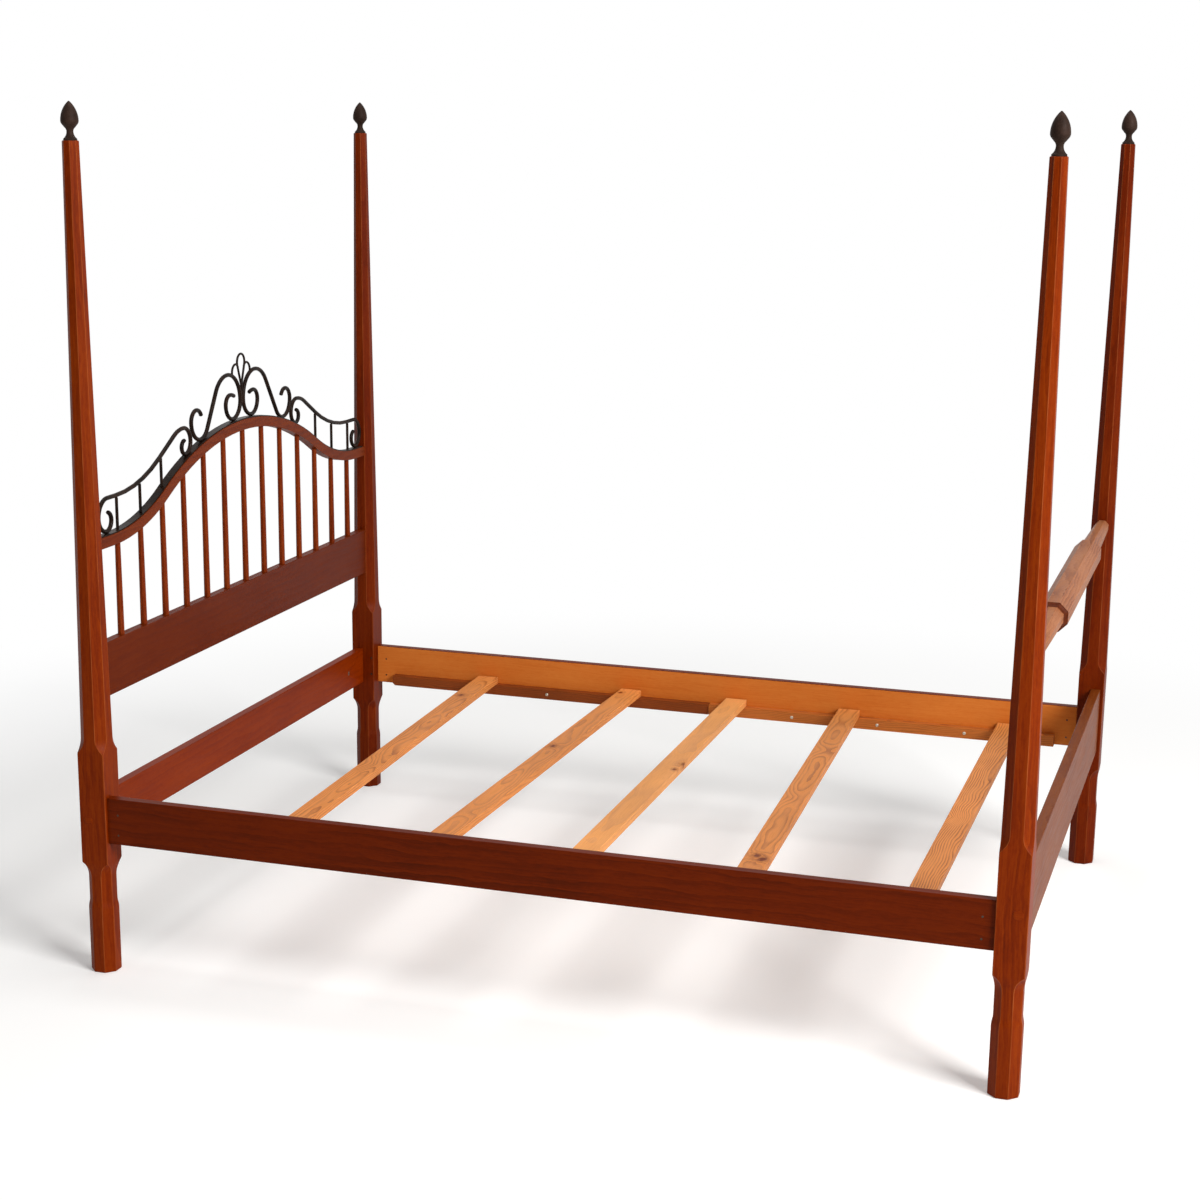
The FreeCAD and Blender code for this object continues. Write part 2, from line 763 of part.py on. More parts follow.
def seat_height(place):
    """Height of a bar's middle line where the bar is welded to the strap."""
    return crest.height(place, crest_half + strap_thickness) + bar_diameter / 2 - weld_sink


def seated_start(steps, heading, left_reach, curl_place):
    """Where a bar starts for its first curl to sit on the strap, by its left reach or its lowest place."""
    path = BentBar(ORIGIN, heading)
    path.follow(steps)
    low = lowest_point(path)
    box = path.line().optimalBoundingBox(False)
    shift = curl_place - low.y if left_reach is None else left_reach - box.YMin
    return Vec(0, shift, seat_height(low.y + shift) - low.z)


def seated_bar(start, heading, first_steps, sweep, last_steps, right_reach):
    """A bar whose last curl sits on the strap too, by the length of the fall before its sweep.

    With a right reach, a level run after the sweep brings the bar's far side to that reach.
    """
    fall_length = bar_diameter
    level_length = bar_diameter
    for attempt in range(seating_rounds):
        path = BentBar(start, heading)
        path.follow(first_steps)
        slope = -math.sin(math.radians(path.heading))
        path.run(fall_length)
        path.bend(*sweep)
        if right_reach is not None:
            path.run(level_length)
        last = BentBar(path.point, path.heading)
        last.follow(last_steps)
        low = lowest_point(last)
        fall_length += (low.z - seat_height(low.y)) / slope
        if right_reach is not None:
            level_length += right_reach - last.line().optimalBoundingBox(False).YMax
    path.pieces += last.pieces
    return path


def at_headboard(shape):
    """Moves a shape drawn at X zero into the headboard's plane."""
    shape.translate(ALONG * -half_length)
    return shape


strap_reach = half_width - block_half - strap_post_gap
crest_strap = crest.band(crest_half, crest_half + strap_thickness, strap_reach, strap_width)


def height_on_path(path, place):
    """Height of the uppermost point of a path at a place across the bed."""
    line = Part.makeLine(Vec(0, place, 0), Vec(0, place, post_height))
    distance, pairs, _ = path.line().distToShape(line)
    return max(pair[0].z for pair in pairs)


class CrestSide:
    """Ironwork of one side, 1 or -1, drawn on the right and mirrored for the left."""

    def __init__(self, side):
        self.side = side
        self.scroll_path = self.make_scroll_path(scroll_fall_degrees[side], side * scroll_offset)
        self.side_bar_path = self.make_side_bar_path(side * side_bar_offset)

    def make_scroll_path(self, fall, offset):
        """The line of the large scroll, which starts beside the middle of the crest."""
        inner = list(zip(scroll_inner_radii, scroll_inner_turn_degrees))
        outer = list(zip(scroll_outer_radii, scroll_outer_turn_degrees))
        start = seated_start(inner, scroll_start_degrees, scroll_spacing / 2 + offset, None)
        return seated_bar(start, scroll_start_degrees, inner + [(scroll_top_radius, -fall)],
                          (scroll_sweep_radius, fall), outer, None)

    def make_side_bar_path(self, offset):
        """The line of the side bar, which ends beside the post."""
        upper = list(zip(side_bar_upper_radii, side_bar_upper_turn_degrees))
        upper.append((side_bar_peak_radius, -side_bar_fall_degrees))
        lower = list(zip(side_bar_lower_radii, side_bar_lower_turn_degrees))
        start = seated_start(upper, side_bar_start_degrees, None, side_bar_curl_place + offset)
        right_reach = half_width - block_half - side_bar_post_gap - bar_diameter / 2 + offset
        return seated_bar(start, side_bar_start_degrees, upper,
                          (side_bar_sweep_radius, side_bar_fall_degrees), lower, right_reach)

    def placed(self, shape):
        """A shape drawn on the right, on its own side of the headboard."""
        shape = at_headboard(shape)
        return shape if self.side > 0 else mirrored_y(shape)

    def scroll(self):
        """The large scroll."""
        return self.placed(self.scroll_path.tube(bar_diameter))

    def side_bar(self):
        """The long bar outside the scroll."""
        return self.placed(self.side_bar_path.tube(bar_diameter))

    def uprights(self):
        """The uprights from the strap to the side bar."""
        uprights = []
        for upright_place in upright_places:
            place = upright_place + self.side * side_bar_offset
            foot = crest.height(place, crest_half + strap_thickness) - weld_sink
            head = height_on_path(self.side_bar_path, place) - bar_diameter / 2 + weld_sink
            uprights.append(self.placed(rod(upright_diameter, Vec(0, place, foot), Vec(0, place, head))))
        return uprights

    def small_loop(self):
        """The small loop that grows from the top of the scroll."""
        place = side_loop_start + self.side * scroll_offset
        loop = BentBar(Vec(0, place, height_on_path(self.scroll_path, place)), 90.0)
        bends = list(zip(side_loop_radii, side_loop_turn_degrees))
        loop.follow([side_loop_rise] + bends + [side_loop_run_out])
        return self.placed(loop.tube(loop_bar_diameter))


right_ironwork = CrestSide(1)
left_ironwork = CrestSide(-1)
uprights_right = right_ironwork.uprights()
uprights_left = left_ironwork.uprights()


# Loops at the middle of the crest: a tall loop on a stem, between two small ones
def make_loops():
    """The three loops and their stem as one welded piece."""
    lean = 90.0 + loop_lean_degrees
    top = crest.height(0, crest_half) + loop_top
    lean_angle = math.radians(loop_lean_degrees)
    arc_drop = loop_radius * (1 + math.sin(lean_angle))
    arc_half = loop_radius * math.cos(lean_angle)
    leg_length = arc_half / math.sin(lean_angle)
    foot = top - arc_drop - leg_length * math.cos(lean_angle)
    half_loop = BentBar(Vec(0, 0, foot), lean)
    half_loop.run(leg_length)
    half_loop.bend(loop_radius, -lean)
    half_tube = half_loop.tube(loop_bar_diameter)
    stem = rod(stem_diameter, Vec(0, 0, foot - stem_length), Vec(0, 0, foot + stem_overlap))
    tall_loop = at_headboard(union([half_tube, mirrored_y(half_tube), stem]))
    tall_loop.translate(ACROSS * scroll_offset)
    return union([tall_loop, right_ironwork.small_loop(), left_ironwork.small_loop()])


crest_loops = make_loops()

strap_screws = []
for screw_place in [sign * place for place in strap_screw_places for sign in (-1, 1)]:
    seat = Vec(-half_length, screw_place, crest.height(screw_place, crest_half + strap_thickness))
    slope_place = screw_place + overrun
    slope_height = crest.height(slope_place, crest_half + strap_thickness)
    slope = Vec(0, overrun, slope_height - seat.z)
    into = slope.cross(ALONG)
    into = into * (math.copysign(1.0, -into.z) / into.Length)
    head = Part.makeCone(strap_screw_head_diameter / 2, strap_screw_diameter / 2,
                         strap_screw_head_height, seat, into)
    shank = rod(strap_screw_diameter, seat, seat + into * strap_screw_length)
    strap_screws.append(union([head, shank]))
crest_strap = crest_strap.cut(strap_screws)
crest_rail = crest_rail.cut(strap_screws)

# Joints of each post
parts = {}
post_names = {(-1, -1): "head_post_near", (-1, 1): "head_post_far",
              (1, -1): "foot_post_near", (1, 1): "foot_post_far"}
hook_slots = {(1, 1): hook_slot, (-1, 1): mirrored_x(hook_slot), (1, -1): mirrored_y(hook_slot),
              (-1, -1): mirrored_x(mirrored_y(hook_slot))}
for (end, side), name in post_names.items():
    corner = Vec(end * half_length, side * half_width, 0)
    cuts = [hook_slots[end, side], post_bolt_cuts[end, side]] + all_hook_pins
    cuts += [head_mortises, panel_mortises] + crest_mortises if end < 0 else [foot_mortises, blanket_sockets]
    pin_hole = finial_hole.copy()
    pin_hole.translate(corner)
    parts[name] = post_bodies[end, side].cut(cuts + [pin_hole])
    finial = finial_body.copy()
    finial.translate(corner)
    parts[name.replace("post", "finial")] = finial

parts["headboard_crest_rail"] = crest_rail
parts["headboard_panel_rail"] = panel_rail
parts["head_lower_rail"] = head_rail
parts["foot_rail"] = foot_rail
parts["blanket_rail"] = blanket_rail
for number, spindle in enumerate(spindles):
    parts["headboard_spindle_%02d" % (number + 1)] = spindle

parts["far_side_rail"] = far_rail
parts["near_side_rail"] = mirrored_y(far_rail)
parts["far_hook_plate_foot"] = hook_plate
parts["far_hook_plate_head"] = mirrored_x(hook_plate)
parts["near_hook_plate_foot"] = mirrored_y(hook_plate)
parts["near_hook_plate_head"] = mirrored_x(mirrored_y(hook_plate))
parts["post_hook_pins"] = Part.Compound(all_hook_pins)
parts["far_plate_rivets"] = Part.Compound(far_rivets)
parts["near_plate_rivets"] = Part.Compound(near_rivets)
parts["far_ledger_head"] = far_ledger_head
parts["far_ledger_foot"] = far_ledger_foot
parts["near_ledger_head"] = mirrored_y(far_ledger_head)
parts["near_ledger_foot"] = mirrored_y(far_ledger_foot)
parts["far_ledger_screws"] = Part.Compound(far_screws)
parts["near_ledger_screws"] = Part.Compound(near_screws)
for number, (share, skew) in enumerate(zip(slat_place_shares, slat_skew_degrees)):
    parts["slat_%d" % (number + 1)] = make_slat(share, skew)

parts["bed_bolts"] = Part.Compound(bolts)
parts["barrel_nuts"] = Part.Compound(nuts)
parts["bolt_plugs"] = Part.Compound(plugs)
parts["crest_strap"] = crest_strap
parts["crest_strap_screws"] = Part.Compound(strap_screws)
parts["scroll_right"] = right_ironwork.scroll()
parts["scroll_left"] = left_ironwork.scroll()
parts["side_bar_right"] = right_ironwork.side_bar()
parts["side_bar_left"] = left_ironwork.side_bar()
parts["uprights_right"] = Part.Compound(uprights_right)
parts["uprights_left"] = Part.Compound(uprights_left)
parts["crest_loops"] = crest_loops

os.makedirs("parts", exist_ok=True)
for name, shape in parts.items():
    shape.exportStep("parts/" + name + ".step")
    box = shape.optimalBoundingBox(False)
    print("%-24s %d solid(s), valid %s, %.1f cm3, Z %.1f to %.1f" % (
        name, len(shape.Solids), shape.isValid(), shape.Volume / 1000, box.ZMin, box.ZMax))
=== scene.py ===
import json
import logging
import math
from dataclasses import dataclass
from enum import Enum

import bmesh
import bpy
from mathutils import Matrix, Vector

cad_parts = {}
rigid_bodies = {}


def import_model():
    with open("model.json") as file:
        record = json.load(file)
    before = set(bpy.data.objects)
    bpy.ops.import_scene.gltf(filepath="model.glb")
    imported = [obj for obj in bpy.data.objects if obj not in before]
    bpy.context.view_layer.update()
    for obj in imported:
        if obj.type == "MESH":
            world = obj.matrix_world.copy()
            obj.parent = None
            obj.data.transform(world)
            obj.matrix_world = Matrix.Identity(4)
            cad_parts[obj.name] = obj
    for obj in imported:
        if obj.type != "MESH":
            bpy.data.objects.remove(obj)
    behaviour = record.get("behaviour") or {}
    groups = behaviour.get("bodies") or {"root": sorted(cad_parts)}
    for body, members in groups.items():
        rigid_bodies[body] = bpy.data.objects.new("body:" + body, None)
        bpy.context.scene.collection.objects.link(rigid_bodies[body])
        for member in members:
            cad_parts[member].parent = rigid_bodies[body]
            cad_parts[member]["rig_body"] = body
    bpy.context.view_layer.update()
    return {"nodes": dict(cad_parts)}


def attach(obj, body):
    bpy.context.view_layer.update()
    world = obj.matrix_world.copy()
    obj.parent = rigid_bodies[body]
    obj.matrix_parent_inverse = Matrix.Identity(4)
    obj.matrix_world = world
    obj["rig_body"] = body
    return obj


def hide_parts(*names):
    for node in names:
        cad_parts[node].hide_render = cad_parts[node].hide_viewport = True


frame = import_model()

log = logging.getLogger("poster_bed")

# Sizes of the bed in millimetres, as the part's source has them
BED_LENGTH = 2130.0
BED_WIDTH = 1588.0
POST_HEIGHT = 1930.0
BLOCK_SIDE = 68.0
RAIL_THICKNESS = 25.0
RAIL_BOTTOM = 324.0
LEDGER_HEIGHT = 29.0
LEDGER_THICKNESS = 25.0
SLAT_THICKNESS = 19.0
PANEL_RAIL_TOP = 792.0
BLANKET_LEVEL = 942.0
HALF_LENGTH = BED_LENGTH / 2
HALF_WIDTH = BED_WIDTH / 2
BLOCK_HALF = BLOCK_SIDE / 2

# The four corners, as signs along and across the bed
CORNERS = ((-1, -1), (-1, 1), (1, -1), (1, 1))

MILLIMETRES = 1000.0

# Scale of a wave texture whose rings lie one millimetre apart
RING_SCALE = 314.16

# Points nearer than this are one point, in metres
SAME_POINT = 1e-6

# How many flat sides stand for a round one, on large and on small rods
FINE_SIDES = 64
ROD_SIDES = 32


def metre(length: float) -> float:
    """A length in millimetres as metres."""
    return length / MILLIMETRES


def metres(*lengths: float) -> tuple[float, ...]:
    """Lengths in millimetres as metres."""
    return tuple(metre(length) for length in lengths)


def linear(value: str) -> tuple[float, ...]:
    """A colour for a shader socket.

    Args:
        value: An sRGB colour as six hex digits after a hash sign.

    Returns:
        The same colour in linear light, with alpha 1.
    """
    shares = [int(value[start:start + 2], 16) / 255.0 for start in (1, 3, 5)]
    light = [share / 12.92 if share <= 0.04045 else ((share + 0.055) / 1.055) ** 2.4
             for share in shares]
    return (*light, 1.0)


def add_node(tree: bpy.types.NodeTree, kind: str, inputs: dict | None = None,
             **settings: object) -> bpy.types.Node:
    """Adds a node to a tree with its settings and links.

    Args:
        tree: The tree that gets the node.
        kind: The node's type name.
        inputs: Input names or numbers, each with a value or with an output socket to link.
        settings: Properties of the node itself.

    Returns:
        The new node.
    """
    node = tree.nodes.new(kind)
    for name, value in settings.items():
        setattr(node, name, value)
    for key, value in (inputs or {}).items():
        if isinstance(value, bpy.types.NodeSocket):
            tree.links.new(value, node.inputs[key])
        else:
            node.inputs[key].default_value = value
    return node


class Axis(Enum):
    """The direction that a piece's grain runs in, as the turn that lays it along X."""

    ALONG = (0.0, 0.0, 0.0)
    ACROSS = (0.0, 0.0, -90.0)
    UP = (0.0, 90.0, 0.0)


class MaterialTree:
    """A material's nodes while it is built, with the patterns that the finishes share."""

    def __init__(self, name: str) -> None:
        """An empty material with a Principled surface.

        Args:
            name: What the material is.
        """
        self.material = bpy.data.materials.new(name)
        self.material.use_nodes = True
        self.tree = self.material.node_tree
        self.tree.nodes.clear()
        self.surface = add_node(self.tree, "ShaderNodeBsdfPrincipled")
        add_node(self.tree, "ShaderNodeOutputMaterial", {"Surface": self.surface.outputs[0]})
        self.coordinates = add_node(self.tree, "ShaderNodeTexCoord").outputs["Object"]

    def set_constant(self, **values: float) -> None:
        """Sets values that are the same all over on the surface's own sockets.

        Args:
            values: Socket names with underscores for spaces, each with its value.
        """
        for name, value in values.items():
            socket = name.replace("_", " ").title().replace("Ior", "IOR")
            self.surface.inputs[socket].default_value = value

    def math(self, operation: str, *values: object) -> bpy.types.NodeSocket:
        """A sum of numbers or sockets.

        Args:
            operation: The Math node's operation.
            values: Its operands.

        Returns:
            The result's socket.
        """
        inputs = dict(enumerate(values))
        return add_node(self.tree, "ShaderNodeMath", inputs, operation=operation).outputs[0]

    def vector(self, operation: str, *values: object) -> bpy.types.NodeSocket:
        """A sum of vectors or sockets.

        Args:
            operation: The Vector Math node's operation.
            values: Its operands.

        Returns:
            The result's socket, which is a number where the operation is a length.
        """
        inputs = dict(enumerate(values))
        node = add_node(self.tree, "ShaderNodeVectorMath", inputs, operation=operation)
        return node.outputs["Value" if operation == "LENGTH" else "Vector"]

    def mapped(self, vector: bpy.types.NodeSocket, move: tuple[float, ...] = (0.0, 0.0, 0.0),
               angles: tuple[float, ...] = (0.0, 0.0, 0.0)) -> bpy.types.NodeSocket:
        """Coordinates turned and then moved.

        Args:
            vector: Coordinates in metres.
            move: How far they move, in metres.
            angles: How far they turn about the three axes, in degrees.

        Returns:
            The new coordinates' socket.
        """
        turn = tuple(math.radians(angle) for angle in angles)
        inputs = {"Vector": vector, "Location": move, "Rotation": turn}
        return add_node(self.tree, "ShaderNodeMapping", inputs).outputs[0]

    def noise(self, vector: bpy.types.NodeSocket, length: float, width: float,
              detail: float = 2.0, roughness: float = 0.5,
              result: str = "Fac") -> bpy.types.NodeSocket:
        """Noise whose spots have real sizes.

        Args:
            vector: Coordinates in metres.
            length: Size of a spot along X, in millimetres.
            width: Size of a spot along Y and Z, in millimetres.
            detail: Octaves of finer noise.
            roughness: Strength of the finer noise.
            result: Which output is wanted.

        Returns:
            The noise's socket.
        """
        scales = tuple(MILLIMETRES / size for size in (length, width, width))
        stretched = self.vector("MULTIPLY", vector, scales)
        inputs = {"Vector": stretched, "Scale": 1.0, "Detail": detail, "Roughness": roughness}
        return add_node(self.tree, "ShaderNodeTexNoise", inputs).outputs[result]

    def swayed(self, vector: bpy.types.NodeSocket, length: float, width: float, reach: float,
               detail: float = 2.0) -> bpy.types.NodeSocket:
        """Coordinates pushed about across the grain, so that straight grain wanders.

        Args:
            vector: Coordinates in metres, with the grain along X.
            length: Length of a bend, in millimetres.
            width: Width of a bend, in millimetres.
            reach: Strength of the push, in millimetres.
            detail: Octaves of finer bends.

        Returns:
            The new coordinates' socket.
        """
        push = self.noise(vector, length, width, detail, result="Color")
        push = self.vector("SUBTRACT", push, (0.5, 0.5, 0.5))
        push = self.vector("MULTIPLY", push, (0.0, *metres(reach, reach)))
        return self.vector("ADD", vector, push)

    def rings(self, vector: bpy.types.NodeSocket, width: float, distortion: float, detail: float,
              detail_scale: float) -> bpy.types.NodeSocket:
        """Growth rings about the X axis, which rise from 0 to 1 across each ring.

        Args:
            vector: Coordinates in metres, with the log's heart on X.
            width: A ring's width in millimetres.
            distortion: How far the rings bend.
            detail: Octaves of finer bends.
            detail_scale: Size of the finer bends.

        Returns:
            The rings' socket.
        """
        inputs = {"Vector": vector, "Scale": RING_SCALE / width, "Distortion": distortion,
                  "Detail": detail, "Detail Scale": detail_scale}
        return add_node(self.tree, "ShaderNodeTexWave", inputs, wave_type="RINGS",
                        rings_direction="X", wave_profile="SAW").outputs["Fac"]

    def ranged(self, value: bpy.types.NodeSocket, low: float, high: float, to_low: float = 0.0,
               to_high: float = 1.0) -> bpy.types.NodeSocket:
        """A value moved from one range to another and held inside it.

        Args:
            value: The value.
            low: What becomes to_low.
            high: What becomes to_high.
            to_low: Start of the new range.
            to_high: End of the new range.

        Returns:
            The result's socket.
        """
        inputs = {"Value": value, "From Min": low, "From Max": high, "To Min": to_low,
                  "To Max": to_high}
        return add_node(self.tree, "ShaderNodeMapRange", inputs, clamp=True).outputs["Result"]

    def blend(self, share: bpy.types.NodeSocket | float, first: object, second: object,
              how: str = "MIX") -> bpy.types.NodeSocket:
        """A mixture of two colours.

        Args:
            share: Share of the second colour.
            first: Hex colour or socket.
            second: Hex colour or socket.
            how: Blend type.

        Returns:
            The colour's socket.
        """
        colours = [linear(value) if isinstance(value, str) else value for value in (first, second)]
        inputs = {0: share, 6: colours[0], 7: colours[1]}
        node = add_node(self.tree, "ShaderNodeMix", inputs, data_type="RGBA", blend_type=how)
        return node.outputs[2]

    def coat(self, colour: bpy.types.NodeSocket, pattern: bpy.types.NodeSocket,
             span: tuple[float, float], roughness: tuple[float, float]) -> None:
        """Gives the surface its colour, and a roughness that follows a pattern.

        Args:
            colour: The colour's socket.
            pattern: What the roughness follows.
            span: Start and end of the pattern's range.
            roughness: Roughness at the start and at the end.
        """
        rough = self.ranged(pattern, *span, *roughness)
        self.tree.links.new(colour, self.surface.inputs["Base Color"])
        self.tree.links.new(rough, self.surface.inputs["Roughness"])

    def bump(self, height: bpy.types.NodeSocket, depth: float, strength: float) -> None:
        """Relief on the surface.

        Args:
            height: Height from 0 to 1.
            depth: What 1 is, in millimetres.
            strength: Share of the relief that shows.
        """
        inputs = {"Height": height, "Distance": metre(depth), "Strength": strength}
        relief = add_node(self.tree, "ShaderNodeBump", inputs).outputs[0]
        self.tree.links.new(relief, self.surface.inputs["Normal"])


@dataclass(frozen=True)
class StainedCherry:
    """Cherry, planed and sanded, with a red-brown stain under a thin satin lacquer.

    The stain evens out the wood, so the growth rings are soft shadows, with fine streaks along the
    grain, short darker pores and a faint mottle. The lacquer is dull, so the colour stays deep.
    Arrises show lighter, partly where the stain is rubbed thin and partly as a painted highlight.
    """

    name: str
    dark: str = "#5A1800"
    body: str = "#742400"
    light: str = "#883402"
    bare: str = "#B86A38"
    ring_width: float = 16.0
    ring_share: float = 0.22
    streak_share: float = 0.6
    mottle_share: float = 0.3
    blotch_share: float = 0.35
    heart_depth: float = 70.0
    streak_length: float = 260.0
    streak_width: float = 4.0
    pore_length: float = 22.0
    pore_width: float = 1.5
    sway: tuple[float, float, float] = (260.0, 60.0, 30.0)
    ring_fade: tuple[float, float] = (300.0, 60.0)
    blotch_size: tuple[float, float] = (190.0, 90.0)
    mottle_size: tuple[float, float] = (16.0, 5.0)
    rub_size: tuple[float, float] = (70.0, 9.0)
    body_span: tuple[float, float] = (0.42, 0.74)
    light_span: tuple[float, float] = (0.70, 1.06)
    pore_strength: float = 0.4
    relief: float = 0.16
    roughness: float = 0.42
    # worn lightens the arrises towards bare: partly rubbed stain, partly a painted highlight
    worn: float = 0.0

    def made(self, grain: Axis, seed: float) -> bpy.types.Material:
        """The material for pieces whose grain runs one way.

        Args:
            grain: Direction of the grain.
            seed: Shifts the pattern, so that pieces differ.

        Returns:
            The material.
        """
        made = MaterialTree("%s %s %g" % (self.name, grain.name.lower(), seed))
        shift = (seed * 1.7, seed * 0.37, seed * 0.73)
        turned = made.mapped(made.coordinates, shift, grain.value)
        grainwise = made.swayed(turned, *self.sway)
        # The log's heart lies outside the piece and runs at a slight angle to it
        depth = metre(self.heart_depth)
        place = (0.0, depth + seed * 0.013, depth / 1.4)
        heart = made.mapped(grainwise, place, (0.0, 1.6, 1.1 + seed * 0.2))
        rings = made.rings(heart, self.ring_width, 2.2, 2.0, 1.1)
        clear = made.ranged(made.noise(turned, *self.ring_fade), 0.35, 0.65, 0.25, 1.0)
        rings = made.math("MULTIPLY", rings, clear)
        streaks = made.noise(grainwise, self.streak_length, self.streak_width, 3.0, 0.6)
        blotches = made.noise(turned, *self.blotch_size)
        mottle = made.noise(turned, *self.mottle_size, 2.0, 0.6)
        # Pores are finer than this on the real wood and are drawn this wide so that they show
        pores = made.noise(grainwise, self.pore_length, self.pore_width, 2.0, 0.7)
        figure = made.math("SUBTRACT", streaks, 0.5)
        figure = made.math("MULTIPLY_ADD", figure, self.streak_share, 0.5)
        for pattern, share in ((rings, -self.ring_share), (mottle, self.mottle_share),
                               (blotches, self.blotch_share)):
            figure = made.math("MULTIPLY_ADD", pattern, share, figure)
        colour = made.blend(made.ranged(figure, *self.body_span), self.dark, self.body)
        colour = made.blend(made.ranged(figure, *self.light_span), colour, self.light)
        pore_share = made.ranged(pores, 0.55, 0.72, 0.0, self.pore_strength)
        colour = made.blend(pore_share, colour, self.dark)
        # Lighter patches on the arris materials, partly rubbed stain and partly a painted highlight
        if self.worn:
            wear_and_highlight = made.noise(turned, *self.rub_size, 3.0)
            wear_and_highlight = made.ranged(wear_and_highlight, 0.42, 0.6, 0.15, self.worn)
            colour = made.blend(wear_and_highlight, colour, self.bare)
        made.coat(colour, streaks, (0.3, 0.7), (self.roughness - 0.05, self.roughness + 0.08))
        made.bump(made.math("MULTIPLY_ADD", pores, -0.6, streaks), self.relief, 0.45)
        made.set_constant(ior=1.5, specular_ior_level=0.05)
        return made.material


@dataclass(frozen=True)
class Knot:
    """A knot in the top face of a board, in millimetres.

    Where it lies below the face, only the growth rings that bend round it show.
    """

    x: float
    y: float
    radius: float
    below: bool = False


@dataclass(frozen=True)
class SawnPine:
    """Pine board, machine planed and oiled, with clear growth rings and a few knots.

    Late wood stands darker and harder between wide pale bands, so a flat-sawn face shows arches.
    """

    name: str
    early: str = "#DA8A48"
    late: str = "#8E4A1A"
    knot: str = "#6A2A0A"
    ring_width: float = 5.5
    heart_depth: float = 32.0
    heart_aside: float = 0.0
    tilt: float = 1.0
    late_strength: float = 0.75
    fibre_strength: float = 0.25
    sway: tuple[float, float, float] = (170.0, 60.0, 24.0)
    ring_fade: tuple[float, float] = (90.0, 30.0)
    cloud_size: tuple[float, float] = (300.0, 160.0)
    fibre_size: tuple[float, float] = (120.0, 1.8)
    knot_edge: float = 7.0
    knot_bend: float = 12.0
    knot_stretch: float = 0.72
    relief: float = 0.15
    roughness: float = 0.5

    def made(self, grain: Axis, place: tuple[float, float], turn: float, seed: float,
             knots: tuple[Knot, ...] = ()) -> bpy.types.Material:
        """The material for a board.

        Args:
            grain: Direction of the grain.
            place: The board's middle across its grain, and its top's height, in millimetres.
            turn: How far the board is turned about the Z axis, in degrees.
            seed: Shifts the pattern, so that boards differ.
            knots: Knots of this board.

        Returns:
            The material.
        """
        made = MaterialTree("%s %s %g" % (self.name, grain.name.lower(), seed))
        shift = (seed * 0.61, 0.0, 0.0)
        turned = made.mapped(made.coordinates, angles=grain.value)
        turned = made.vector("ADD", turned, shift)
        bent = made.swayed(turned, *self.sway, 1.0)
        ragged = made.noise(made.coordinates, self.knot_edge, self.knot_edge)
        ragged = made.ranged(ragged, 0.3, 0.7, 0.6, 1.5)
        # The dark ring round each knot, then the knot itself, by radii and strength
        rims = ((self.late, 0.8, 3.0, 0.65), (self.knot, 0.6, 1.2, 1.0))
        shares: list[object] = [0.0 for _ in rims]
        for found in knots:
            away = made.vector("SUBTRACT", made.coordinates, metres(found.x, found.y, place[1]))
            away = made.vector("MULTIPLY", away, (1.0, self.knot_stretch, 1.0))
            distance = made.vector("LENGTH", away)
            radius = metre(found.radius)
            push = made.ranged(distance, 0.0, 4.2 * radius, metre(self.knot_bend), 0.0)
            push = add_node(made.tree, "ShaderNodeCombineXYZ", {1: push, 2: push}).outputs[0]
            bent = made.vector("ADD", bent, push)
            if found.below:
                continue
            distance = made.math("MULTIPLY", distance, ragged)
            for layer, (_, inner, outer, strength) in enumerate(rims):
                share = made.ranged(distance, inner * radius, outer * radius, strength, 0.0)
                shares[layer] = made.math("MAXIMUM", shares[layer], share)
        # The log's heart runs below the board, off its middle and slowly towards its face
        across, level, aside, depth = metres(*place, self.heart_aside, self.heart_depth)
        heart = made.vector("SUBTRACT", bent, shift)
        heart = made.mapped(heart, (0.0, aside - across, depth - level), (0.0, 0.0, -turn))
        heart = made.mapped(heart, angles=(0.0, self.tilt * math.cos(1.9 * seed), 0.0))
        rings = made.rings(heart, self.ring_width, 0.5, 1.0, 1.2)
        fibres = made.noise(bent, *self.fibre_size, 3.0, 0.65)
        late_share = made.ranged(rings, 0.45, 0.95, 0.0, self.late_strength)
        clear = made.ranged(made.noise(turned, *self.ring_fade), 0.35, 0.6, 0.45, 1.0)
        colour = made.blend(made.math("MULTIPLY", late_share, clear), self.early, self.late)
        fibre_share = made.ranged(fibres, 0.45, 0.72, 0.0, self.fibre_strength)
        colour = made.blend(fibre_share, colour, self.late)
        cloud = made.ranged(made.noise(turned, *self.cloud_size), 0.3, 0.7, 0.88, 1.1)
        shade = add_node(made.tree, "ShaderNodeCombineColor", {0: cloud, 1: cloud, 2: cloud})
        colour = made.blend(1.0, colour, shade.outputs[0], "MULTIPLY")
        if knots:
            for share, (tone, _, _, _) in zip(shares, rims):
                colour = made.blend(share, colour, tone)
        made.coat(colour, rings, (0.0, 1.0), (self.roughness + 0.06, self.roughness - 0.06))
        made.bump(made.math("MULTIPLY_ADD", fibres, -0.5, rings), self.relief, 0.35)
        made.set_constant(ior=1.5, specular_ior_level=0.12)
        return made.material


